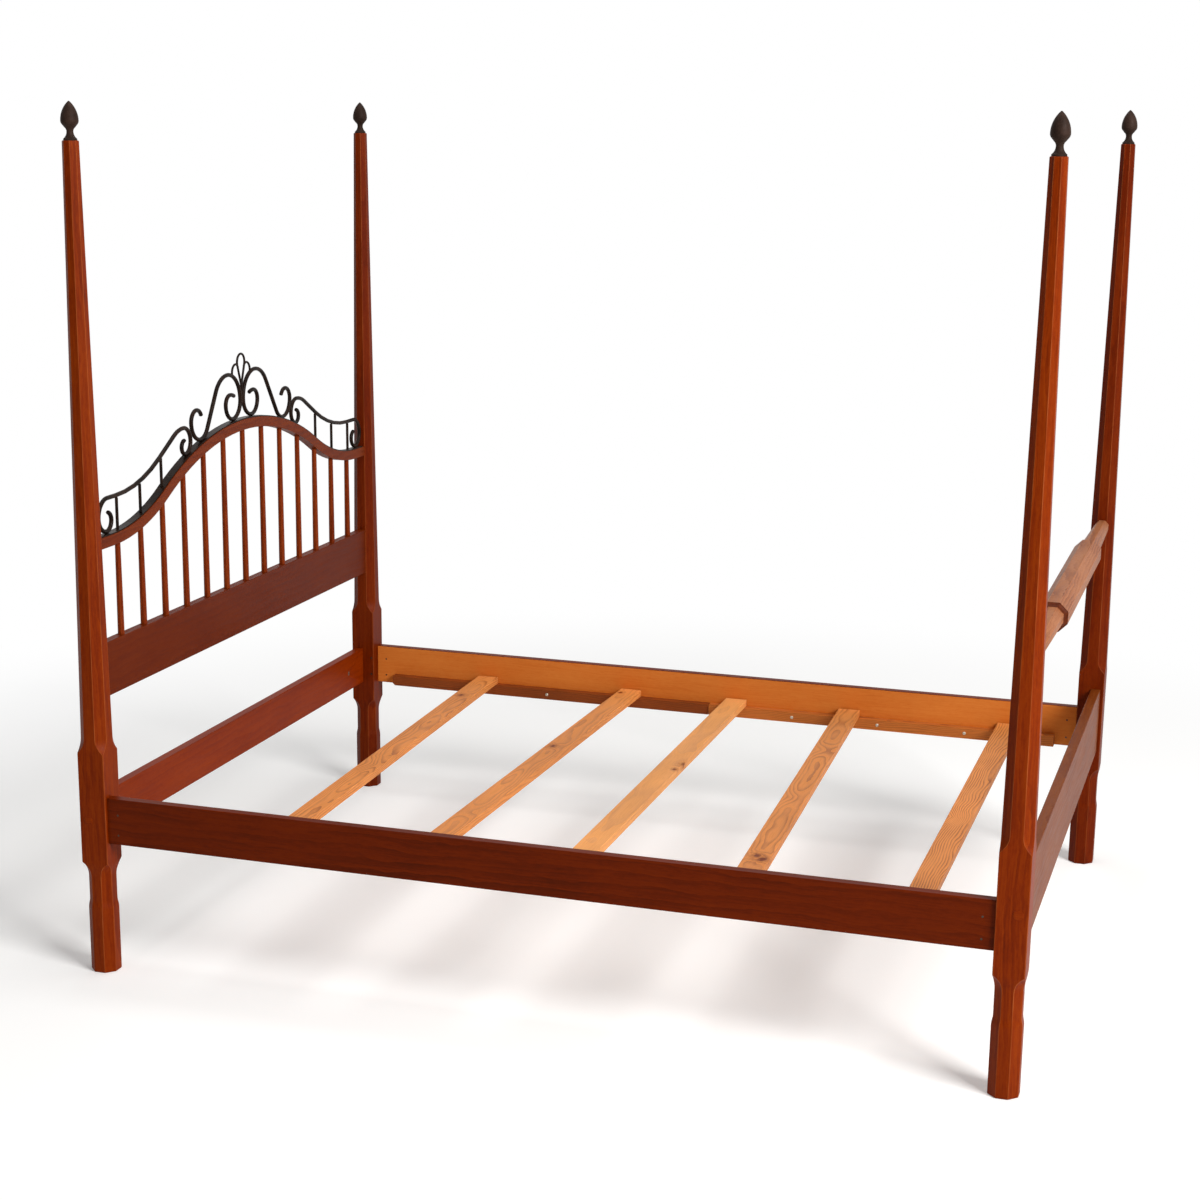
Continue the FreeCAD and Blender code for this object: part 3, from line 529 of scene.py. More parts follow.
@dataclass(frozen=True)
class ForgedIron:
    """Forged bar, hammered over the horn, scaled black and waxed.

    Shallow hammer marks break up the highlight, and brown rust shows in places through the black.
    """

    name: str
    black: str = "#140C08"
    brown: str = "#24160E"
    worn: str = "#40332A"
    mark_size: float = 14.0
    mark_depth: float = 0.35
    roughness: float = 0.3
    metallic: float = 0.0
    rust_size: float = 38.0
    grit_size: float = 2.2

    def made(self) -> bpy.types.Material:
        """The material for pieces of this finish.

        Returns:
            The material.
        """
        made = MaterialTree(self.name)
        patches = made.noise(made.coordinates, self.rust_size, self.rust_size, 4.0, 0.6)
        marks = made.noise(made.coordinates, self.mark_size, self.mark_size, 1.0)
        grit = made.noise(made.coordinates, self.grit_size, self.grit_size, 3.0, 0.7)
        colour = made.blend(made.ranged(patches, 0.42, 0.62), self.black, self.brown)
        colour = made.blend(made.ranged(grit, 0.58, 0.74, 0.0, 0.6), colour, self.worn)
        made.coat(colour, grit, (0.3, 0.7), (self.roughness - 0.08, self.roughness + 0.14))
        made.bump(made.math("MULTIPLY_ADD", grit, 0.25, marks), self.mark_depth, 0.8)
        made.set_constant(metallic=self.metallic, specular_ior_level=0.06)
        return made.material


@dataclass(frozen=True)
class TurnedFitting:
    """Steel fitting, sawn or turned and then plated, oiled or left bright.

    Fine turning lines and a few dull patches break up an even metal shine.
    """

    name: str
    bright: str
    dull: str
    roughness: float
    patch_size: float = 9.0
    line_length: float = 14.0
    line_width: float = 0.9
    line_depth: float = 0.06

    def made(self) -> bpy.types.Material:
        """The material for pieces of this finish.

        Returns:
            The material.
        """
        made = MaterialTree(self.name)
        patches = made.noise(made.coordinates, self.patch_size, self.patch_size, 4.0, 0.6)
        lines = made.noise(made.coordinates, self.line_length, self.line_width)
        colour = made.blend(made.ranged(patches, 0.42, 0.66), self.bright, self.dull)
        made.coat(colour, patches, (0.3, 0.7), (self.roughness - 0.06, self.roughness + 0.16))
        made.bump(lines, self.line_depth, 0.5)
        made.set_constant(metallic=1.0)
        return made.material


class Bend(Enum):
    """How an outline runs from one point to the next."""

    STRAIGHT = 0
    COVE_FROM = 1
    COVE_TO = 2


@dataclass
class Outline:
    """Half-width against height as straight runs and coves, in millimetres."""

    points: list[tuple[float, float, Bend]]
    cove_steps: int = 9

    def heights(self) -> list[float]:
        """Heights at which the outline needs a ring of points.

        Returns:
            The heights in millimetres, from the lowest up.
        """
        found = {self.points[0][1]}
        for (_, low, _), (_, high, bend) in zip(self.points, self.points[1:]):
            steps = 1 if bend is Bend.STRAIGHT else self.cove_steps
            rises = [(high - low) * step / steps for step in range(steps + 1)]
            found.update(round(low + rise, 4) for rise in rises)
        return sorted(found)

    def half_at(self, height: float) -> float:
        """Half-width at a height.

        Args:
            height: Height in millimetres.

        Returns:
            Half-width in millimetres.
        """
        for (half, low, _), (next_half, high, bend) in zip(self.points, self.points[1:]):
            if low <= height <= high and high > low:
                if bend is Bend.STRAIGHT:
                    return half + (next_half - half) * (height - low) / (high - low)
                start, end = ((half, low), (next_half, high))
                if bend is Bend.COVE_TO:
                    start, end = end, start
                across, rise = end[0] - start[0], end[1] - start[1]
                half_turn = math.atan2(abs(across), abs(rise))
                radius = abs(rise) / math.sin(2 * half_turn)
                square = radius ** 2 - (height - start[1]) ** 2
                sagitta = radius - math.sqrt(max(square, 0.0))
                return start[0] + math.copysign(sagitta, across)
        return self.points[-1][0]


def new_piece(name: str, mesh: bpy.types.Mesh | None = None) -> bpy.types.Object:
    """A piece of the object, in the scene, with its place in its mesh.

    Args:
        name: The piece's name.
        mesh: Its mesh, or nothing where a tree fills it later.

    Returns:
        The piece.
    """
    piece = bpy.data.objects.new(name, mesh or bpy.data.meshes.new(name))
    bpy.context.scene.collection.objects.link(piece)
    return piece


def corner_name(kind: str, end: int, side: int) -> str:
    """The name of the node of a kind that stands at one corner of the bed."""
    return "%s_%s_%s" % ("head" if end < 0 else "foot", kind, "near" if side < 0 else "far")


def mesh_of(tool: bmesh.types.BMesh, name: str) -> bpy.types.Mesh:
    """The mesh that was under construction, which is then let go.

    Args:
        tool: The mesh under construction.
        name: The mesh's name.

    Returns:
        The mesh.
    """
    shape = bpy.data.meshes.new(name)
    tool.to_mesh(shape)
    tool.free()
    return shape


def smooth(shape: bpy.types.Mesh) -> None:
    """Shades every face of a mesh smoothly and leaves its marked edges sharp."""
    shape.polygons.foreach_set("use_smooth", [True] * len(shape.polygons))


def crisp_mesh_of(tool: bmesh.types.BMesh, name: str, angle: float) -> bpy.types.Mesh:
    """The mesh that was under construction, shaded smoothly apart from its sharper edges.

    Args:
        tool: The mesh under construction.
        name: The mesh's name.
        angle: Edges sharper than this stay crisp, in degrees.

    Returns:
        The mesh.
    """
    shape = mesh_of(tool, name)
    smooth(shape)
    shape.set_sharp_from_angle(angle=math.radians(angle))
    return shape


def evaluated(piece: bpy.types.Object) -> bpy.types.Object:
    """Turns a piece's modifiers into a plain mesh.

    Args:
        piece: The piece, whose modifiers are removed.

    Returns:
        The same piece.
    """
    bpy.context.view_layer.update()
    graph = bpy.context.evaluated_depsgraph_get()
    shape = bpy.data.meshes.new_from_object(piece.evaluated_get(graph))
    piece.modifiers.clear()
    piece.data = shape
    return piece


def weighted(piece: bpy.types.Object) -> bpy.types.Object:
    """Shades a piece smoothly with its large faces flat.

    Args:
        piece: The piece.

    Returns:
        The same piece.
    """
    smooth(piece.data)
    even = piece.modifiers.new("weighted", "WEIGHTED_NORMAL")
    even.weight = 100
    even.keep_sharp = True
    return evaluated(piece)


def carved(piece: bpy.types.Object, cutter: bmesh.types.BMesh) -> bpy.types.Object:
    """Cuts holes in a piece.

    Args:
        piece: The piece.
        cutter: Closed shapes that are taken away.

    Returns:
        The same piece.
    """
    name = piece.name + "_holes"
    holes = new_piece(name, mesh_of(cutter, name))
    cut = piece.modifiers.new("holes", "BOOLEAN")
    cut.operation = "DIFFERENCE"
    cut.solver = "EXACT"
    cut.use_self = True
    cut.object = holes
    evaluated(piece)
    bpy.data.objects.remove(holes)
    return piece


def smooth_copy(node: str, crisp_angle: float = 28.0) -> bpy.types.Object:
    """A CAD node's mesh, joined up and shaded smoothly across its rounded edges.

    Args:
        node: The CAD node.
        crisp_angle: Edges sharper than this stay crisp, in degrees.

    Returns:
        The new piece.
    """
    name = node + "_finished"
    tool = bmesh.new()
    tool.from_mesh(frame["nodes"][node].data)
    bmesh.ops.remove_doubles(tool, verts=tool.verts, dist=SAME_POINT)
    return weighted(new_piece(name, crisp_mesh_of(tool, name, crisp_angle)))


def finished(piece: bpy.types.Object, materials: list[bpy.types.Material], slot: str, body: str,
             *nodes: str) -> bpy.types.Object:
    """Gives a piece its materials and body, and hides the CAD nodes that it stands for.

    Args:
        piece: The piece.
        materials: Its materials, in the order of its material slots.
        slot: The record's slot that it takes its finish from; not used.
        body: The CAD body that it moves with.
        nodes: CAD nodes that it stands for.

    Returns:
        The same piece.
    """
    numbers = [face.material_index for face in piece.data.polygons]
    piece.data.materials.clear()
    for material in materials:
        piece.data.materials.append(material)
    piece.data.polygons.foreach_set("material_index", numbers)
    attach(piece, body)
    if nodes:
        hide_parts(*nodes)
    log.info("%s: %d faces, on %s", piece.name, len(piece.data.polygons), body)
    return piece


def dress(node: str, material: bpy.types.Material, slot: str, body: str = "bed_frame") -> None:
    """Finishes a smooth copy of a CAD node in one material.

    Args:
        node: The CAD node.
        material: The copy's material.
        slot: The record's slot that it takes its finish from.
        body: The CAD body that it moves with.
    """
    finished(smooth_copy(node), [material], slot, body, node)


def block_mesh(tool: bmesh.types.BMesh, low: tuple[float, ...], high: tuple[float, ...]) -> None:
    """Adds a block between two corners.

    Args:
        tool: The mesh under construction.
        low: One corner in millimetres.
        high: The opposite corner.
    """
    middle = Vector(metres(*[(a + b) / 2 for a, b in zip(low, high)]))
    sides = metres(*[abs(b - a) for a, b in zip(low, high)])
    place = Matrix.Translation(middle) @ Matrix.Diagonal(Vector((*sides, 1.0)))
    bmesh.ops.create_cube(tool, size=1.0, matrix=place)


def rod_mesh(tool: bmesh.types.BMesh, diameter: float, start: tuple[float, ...],
             end: tuple[float, ...], sides: int = ROD_SIDES) -> None:
    """Adds a round rod between two points.

    Args:
        tool: The mesh under construction.
        diameter: The rod's diameter in millimetres.
        start: The middle of one end in millimetres.
        end: The middle of the other end.
        sides: How many flat sides stand for the round one.
    """
    first, last = Vector(metres(*start)), Vector(metres(*end))
    run = last - first
    turn = run.to_track_quat("Z", "Y").to_matrix().to_4x4()
    place = Matrix.Translation((first + last) / 2) @ turn
    radius = metre(diameter) / 2
    bmesh.ops.create_cone(tool, cap_ends=True, segments=sides, radius1=radius, radius2=radius,
                          depth=run.length, matrix=place)


@dataclass
class EightSidedBar:
    """A square or eight-sided bar about the Z axis, with rounded arrises.

    The flats and the corner facets each follow an outline of their own, so the section passes
    from square to eight-sided where the corner outline draws in.
    """

    flats: Outline
    corners: Outline
    arris: float = 2.2
    setback_share: float = 0.42
    facet_share: float = 0.3

    def ring(self, height: float) -> list[tuple[float, float]]:
        """The section at a height.

        Args:
            height: Height in millimetres.

        Returns:
            Sixteen points in millimetres, two at each arris.
        """
        flat = self.flats.half_at(height)
        widest = self.arris * self.setback_share
        corner = min(self.corners.half_at(height), flat * math.sqrt(2) - widest)
        reach = corner * math.sqrt(2) - flat
        facet = math.hypot(flat - reach, flat - reach)
        setback = min(widest, facet * self.facet_share)
        along = setback / math.sqrt(2)
        local = [(flat, reach - setback), (flat - along, reach + along),
                 (reach + along, flat - along), (reach - setback, flat)]
        points = []
        for quarter in range(4):
            turn = quarter * math.pi / 2
            cosine, sine = math.cos(turn), math.sin(turn)
            points += [(x * cosine - y * sine, x * sine + y * cosine) for x, y in local]
        return points

    def add_to(self, tool: bmesh.types.BMesh, place: Matrix) -> None:
        """Adds the bar to a mesh.

        Args:
            tool: The mesh under construction, where the arris faces get the second material.
            place: Where the bar stands.
        """
        rings = []
        for height in sorted(set(self.flats.heights()) | set(self.corners.heights())):
            rings.append([tool.verts.new(place @ Vector(metres(x, y, height)))
                          for x, y in self.ring(height)])
        count = len(rings[0])
        for low, high in zip(rings, rings[1:]):
            for number in range(count):
                after = (number + 1) % count
                face = tool.faces.new((low[number], low[after], high[after], high[number]))
                face.material_index = 1 if number % 2 == 0 else 0
        tool.faces.new(list(reversed(rings[0])))
        tool.faces.new(rings[-1])


class ShapeTree:
    """A Geometry Nodes tree with named inputs, which ends in one realised mesh."""

    def __init__(self, name: str, inputs: dict[str, object]) -> None:
        """An empty tree.

        Args:
            name: What the tree makes.
            inputs: Input names with their values. A whole number makes an integer input.
        """
        self.tree = bpy.data.node_groups.new(name, "GeometryNodeTree")
        self.tree.is_modifier = True
        sockets = self.tree.interface
        for way in ("INPUT", "OUTPUT"):
            sockets.new_socket("Geometry", in_out=way, socket_type="NodeSocketGeometry")
        kinds = {int: "NodeSocketInt", float: "NodeSocketFloat", tuple: "NodeSocketVector"}
        self.values: dict[str, object] = {}
        for label, value in inputs.items():
            kind = kinds[type(value)]
            socket = sockets.new_socket(label, in_out="INPUT", socket_type=kind)
            self.values[socket.identifier] = value
        self.given = add_node(self.tree, "NodeGroupInput").outputs

    def add(self, kind: str, inputs: dict | None = None,
            **settings: object) -> bpy.types.NodeSocket:
        """Adds a node to the tree and gives its first output."""
        return add_node(self.tree, kind, inputs, **settings).outputs[0]

    def math(self, operation: str, *values: object) -> bpy.types.NodeSocket:
        """A sum of numbers or sockets."""
        return self.add("ShaderNodeMath", dict(enumerate(values)), operation=operation)

    def mixed(self, share: object, first: object, second: object) -> bpy.types.NodeSocket:
        """A mixture of two numbers."""
        inputs = {0: share, 2: first, 3: second}
        return self.add("ShaderNodeMix", inputs, data_type="FLOAT")

    def vector(self, x: object = 0.0, y: object = 0.0, z: object = 0.0) -> bpy.types.NodeSocket:
        """A vector of three numbers or sockets."""
        return self.add("ShaderNodeCombineXYZ", {0: x, 1: y, 2: z})

    def scaled(self, vector: bpy.types.NodeSocket, share: object) -> bpy.types.NodeSocket:
        """A vector times a number."""
        inputs = {0: vector, "Scale": share}
        return self.add("ShaderNodeVectorMath", inputs, operation="SCALE")

    def circle_height(self, radius: object, aside: object) -> bpy.types.NodeSocket:
        """Height of a circle over its centre.

        Args:
            radius: The circle's radius.
            aside: How far beside the centre.

        Returns:
            The height's socket, with 0 outside the circle.
        """
        squares = [self.math("POWER", value, 2.0) for value in (radius, aside)]
        rest = self.math("MAXIMUM", self.math("SUBTRACT", *squares), 0.0)
        return self.math("SQRT", rest)

    def joined(self, kind: str, parts: list[bpy.types.NodeSocket], socket: str,
               inputs: dict | None = None, **settings: object) -> bpy.types.NodeSocket:
        """Adds a node that takes several shapes in one socket.

        Args:
            kind: The node's type name.
            parts: The shapes.
            socket: The socket that takes them.
            inputs: The node's other inputs.
            settings: Properties of the node itself.

        Returns:
            The node's first output.
        """
        node = add_node(self.tree, kind, inputs, **settings)
        for part in parts:
            self.tree.links.new(part, node.inputs[socket])
        return node.outputs[0]

    def applied(self, piece: bpy.types.Object, shape: bpy.types.NodeSocket,
                material: bpy.types.Material) -> bpy.types.Object:
        """Ends the tree, runs it on a piece and keeps the plain mesh.

        Args:
            piece: The piece, whose mesh is the tree's geometry input.
            shape: What the tree made.
            material: The material that the tree sets.

        Returns:
            The same piece.
        """
        real = self.add("GeometryNodeRealizeInstances", {"Geometry": shape})
        dressed = self.add("GeometryNodeSetMaterial", {"Geometry": real, "Material": material})
        add_node(self.tree, "NodeGroupOutput", {"Geometry": dressed})
        modifier = piece.modifiers.new(self.tree.name, "NODES")
        modifier.node_group = self.tree
        for identifier, value in self.values.items():
            modifier[identifier] = value
        return evaluated(piece)


@dataclass
class Posts:
    """The four tapered posts, with the holes that moving pieces leave or enter."""

    foot_half: float = 33.0
    foot_ease: float = 3.0
    foot_top: float = 155.0
    waist_half: float = 30.0
    waist_low: float = 182.0
    waist_high: float = 236.0
    block_low: float = 275.0
    block_high: float = 541.0
    taper_start: float = 578.0
    top_half: float = 17.5
    top_ease: float = 2.5
    hook_slot: tuple[float, float] = (341.0, 441.0)
    slot_half: float = 1.9
    slot_depth: float = 17.0
    pin_hole: float = 9.2
    pin_hole_depth: float = 40.0
    socket_diameter: float = 28.16
    socket_start: float = HALF_WIDTH - 50.0
    socket_end: float = 786.0
    past_face: float = 5.0
    wood: StainedCherry = StainedCherry("stained cherry posts")
    # The arris material: partly rubbed stain, partly a painted highlight along the edges
    wear_and_highlight: StainedCherry = StainedCherry("rubbed cherry arrises", worn=0.35)
    # Darker copies of the same stain for the far posts, painted shade
    far_shaded_wood: StainedCherry = StainedCherry("dark stained cherry posts", "#4A1200", "#601A00",
                                            "#722802")
    far_shaded_wear_and_highlight: StainedCherry = StainedCherry("rubbed dark cherry arrises", "#4A1200", "#601A00",
                                              "#722802", worn=0.28)

    def outline(self, corner: bool) -> Outline:
        """Outline across the flats, or across the corners.

        Args:
            corner: Whether it is the corner facets' outline.

        Returns:
            The outline.
        """
        stop_half = (self.foot_half + self.waist_half) / 2
        stop_level = (self.foot_top + self.waist_low) / 2
        points = [(self.foot_half - self.foot_ease, 0.0, Bend.STRAIGHT),
                  (self.foot_half, self.foot_ease, Bend.COVE_TO),
                  (self.foot_half, self.foot_top, Bend.STRAIGHT),
                  (stop_half, stop_level, Bend.COVE_FROM),
                  (self.waist_half, self.waist_low, Bend.COVE_TO),
                  (self.waist_half, self.waist_high, Bend.STRAIGHT)]
        if corner:
            reach = BLOCK_HALF * math.sqrt(2)
            points += [(reach, self.block_low, Bend.COVE_FROM),
                       (reach, self.block_high, Bend.STRAIGHT),
                       (BLOCK_HALF, self.taper_start, Bend.COVE_TO)]
        else:
            swell_half = (self.waist_half + BLOCK_HALF) / 2
            swell_level = (self.waist_high + self.block_low) / 2
            points += [(swell_half, swell_level, Bend.COVE_FROM),
                       (BLOCK_HALF, self.block_low, Bend.COVE_TO),
                       (BLOCK_HALF, self.taper_start, Bend.STRAIGHT)]
        points += [(self.top_half, POST_HEIGHT - self.top_ease, Bend.STRAIGHT),
                   (self.top_half - self.top_ease, POST_HEIGHT, Bend.COVE_FROM)]
        return Outline(points)

    def holes(self, end: int, side: int) -> bmesh.types.BMesh:
        """The hook slot, the finial's hole and the blanket rail's socket of one post.

        Args:
            end: 1 at the foot, -1 at the head.
            side: 1 on the far side, -1 on the near one.

        Returns:
            The closed shapes to cut away.
        """
        tool = bmesh.new()
        x, y = end * HALF_LENGTH, side * HALF_WIDTH
        slot_y = side * (HALF_WIDTH + RAIL_THICKNESS / 2)
        low, high = self.hook_slot
        block_mesh(tool, (x - end * (BLOCK_HALF + self.past_face), slot_y - self.slot_half, low),
                   (x - end * (BLOCK_HALF - self.slot_depth), slot_y + self.slot_half, high))
        rod_mesh(tool, self.pin_hole, (x, y, POST_HEIGHT - self.pin_hole_depth),
                 (x, y, POST_HEIGHT + self.past_face))
        if end > 0:
            rod_mesh(tool, self.socket_diameter, (x, side * self.socket_start, BLANKET_LEVEL),
                     (x, side * self.socket_end, BLANKET_LEVEL), FINE_SIDES)
        return tool

    def build(self) -> None:
        """Makes the four posts."""
        bar = EightSidedBar(self.outline(False), self.outline(True))
        for seed, (end, side) in enumerate(CORNERS):
            name = corner_name("post", end, side)
            place = Vector(metres(end * HALF_LENGTH, side * HALF_WIDTH, 0.0))
            tool = bmesh.new()
            bar.add_to(tool, Matrix.Translation(place))
            post = new_piece(name + "_shaped", mesh_of(tool, name + "_turned"))
            # The far posts get the darker copies, which are painted shade
            woods = (self.wood, self.wear_and_highlight) if side < 0 else (self.far_shaded_wood, self.far_shaded_wear_and_highlight)
            # Each post's second material lies on its arrises, partly rubbed stain and partly a
            # painted highlight
            dressing = [wood.made(Axis.UP, seed) for wood in woods]
            for material in dressing:
                post.data.materials.append(material)
            weighted(carved(post, self.holes(end, side)))
            finished(post, dressing, "post_cherry", "bed_frame", name)


@dataclass
class BlanketRail:
    """The eight-sided blanket rail, which turns in the foot posts."""

    body_half: float = 33.0
    neck_half: float = 23.5
    end_half: float = 17.0
    body_reach: float = 380.0
    cove: float = 16.0
    arris: float = 1.8
    neck_end: float = 762.44
    tenon_start: float = 756.44
    tenon_end: float = 784.0
    tenon_diameter: float = 28.0
    # How far past the body the painted shade on the coves reaches, in millimetres
    shade_reach: float = 11.0
    seed: float = 5.0
    wood: StainedCherry = StainedCherry("stained cherry blanket rail", "#703C22", "#925A38",
                                        "#A46E4C", ring_width=8.0, ring_share=0.4)
    # The arris material: partly rubbed stain, partly a painted highlight along the edges
    wear_and_highlight: StainedCherry = StainedCherry("rubbed blanket rail arrises", "#703C22", "#925A38",
                                          "#A46E4C", worn=0.3)
    # A darker copy of the rail's stain, painted shade on the cove faces
    shoulder_shade: StainedCherry = StainedCherry("dark blanket rail shoulders", "#3E1808", "#50200C",
                                            "#622C14")

    def build(self) -> None:
        """Makes the rail."""
        outline = Outline([(self.end_half, -self.neck_end, Bend.STRAIGHT),
                           (self.neck_half, -self.body_reach - self.cove, Bend.STRAIGHT),
                           (self.body_half, -self.body_reach, Bend.COVE_FROM),
                           (self.body_half, self.body_reach, Bend.STRAIGHT),
                           (self.neck_half, self.body_reach + self.cove, Bend.COVE_TO),
                           (self.end_half, self.neck_end, Bend.STRAIGHT)])
        place = Matrix.Translation(Vector(metres(HALF_LENGTH, 0.0, BLANKET_LEVEL)))
        tool = bmesh.new()
        lying = Matrix.Rotation(math.pi / 2, 4, "X")
        EightSidedBar(outline, outline, self.arris).add_to(tool, place @ lying)
        for side in (-1, 1):
            start, end = side * self.tenon_start, side * self.tenon_end
            rod_mesh(tool, self.tenon_diameter, (HALF_LENGTH, start, BLANKET_LEVEL),
                     (HALF_LENGTH, end, BLANKET_LEVEL), FINE_SIDES)
        name = "blanket_rail_shaped"
        rail = weighted(new_piece(name, mesh_of(tool, name)))
        # Painted shade: the cove faces beside the body take a darker copy of the stain, as if
        # turned away from the light
        for face in rail.data.polygons:
            past = MILLIMETRES * abs(face.center.y) - self.body_reach
            if 0.0 < past < self.shade_reach and abs(face.normal.y) > 0.1:
                face.material_index = 2
        woods = (self.wood, self.wear_and_highlight, self.shoulder_shade)
        dressing = [wood.made(Axis.ACROSS, self.seed) for wood in woods]
        finished(rail, dressing, "blanket_cherry", "blanket_roll", "blanket_rail")


@dataclass
class Finials:
    """Turned buds that drop into the posts' tops."""

    pin_half: float = 4.5
    pin_length: float = 38.0
    foot_half: float = 15.25
    foot_height: float = 3.5
    neck: tuple[float, float] = (7.5, 19.0)
    cup: tuple[float, float] = (12.0, 28.0)
    cup_top: tuple[float, float] = (15.9, 33.0)
    bud: tuple[float, float] = (19.8, 42.0)
    tip: tuple[float, float] = (1.2, 84.0)
    cove_steps: int = 12
    segments: int = 48
    crisp_angle: float = 38.0
    iron: ForgedIron = ForgedIron("brown cast finial", "#261A14", "#34251E", "#4C3A32",
                                  mark_size=9.0, mark_depth=0.12, roughness=0.5, metallic=0.1)

    def outline(self) -> Outline:
        """The turning's outline.

        Returns:
            The outline, from pin to tip.
        """
        points = [(self.pin_half, -self.pin_length, Bend.STRAIGHT),
                  (self.pin_half, 0.0, Bend.STRAIGHT), (self.foot_half, 0.0, Bend.STRAIGHT),
                  (self.foot_half, self.foot_height, Bend.STRAIGHT), (*self.neck, Bend.COVE_TO),
                  (*self.cup, Bend.COVE_FROM), (*self.cup_top, Bend.STRAIGHT),
                  (*self.bud, Bend.COVE_TO), (*self.tip, Bend.COVE_FROM)]
        return Outline(points, self.cove_steps)

    def turning(self, x: float, y: float) -> bpy.types.Mesh:
        """One finial's mesh.

        Args:
            x: Place of its axis, in millimetres.
            y: Place of its axis, in millimetres.

        Returns:
            The mesh.
        """
        outline = self.outline()
        steps = [(0.0, -self.pin_length)]
        for (half, low, _), (next_half, high, bend) in zip(outline.points, outline.points[1:]):
            steps.append((half, low))
            if bend is Bend.STRAIGHT:
                continue
            cove = Outline([(half, low, bend), (next_half, high, bend)])
            for step in range(1, self.cove_steps):
                height = low + (high - low) * step / self.cove_steps
                steps.append((cove.half_at(height), height))
        steps += [self.tip, (0.0, self.tip[1])]
        tool = bmesh.new()
        rings = []
        for half, height in steps:
            count = self.segments if half > 0.0 else 1
            angles = [2 * math.pi * number / self.segments for number in range(count)]
            rings.append([tool.verts.new(metres(x + half * math.cos(angle),
                                                y + half * math.sin(angle),
                                                height + POST_HEIGHT)) for angle in angles])
        # A ring on the axis is one point, which turns the faces beside it into triangles
        for low, high in zip(rings, rings[1:]):
            for number in range(self.segments):
                after = (number + 1) % self.segments
                corners = (low[number % len(low)], low[after % len(low)],
                           high[after % len(high)], high[number % len(high)])
                tool.faces.new(list(dict.fromkeys(corners)))
        return crisp_mesh_of(tool, "finial", self.crisp_angle)

    def build(self) -> None:
        """Makes the four finials."""
        material = self.iron.made()
        for end, side in CORNERS:
            name = corner_name("finial", end, side)
            shape = self.turning(end * HALF_LENGTH, side * HALF_WIDTH)
            piece = new_piece(name + "_turned", shape)
            finished(piece, [material], "finial_iron", frame["nodes"][name]["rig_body"], name)


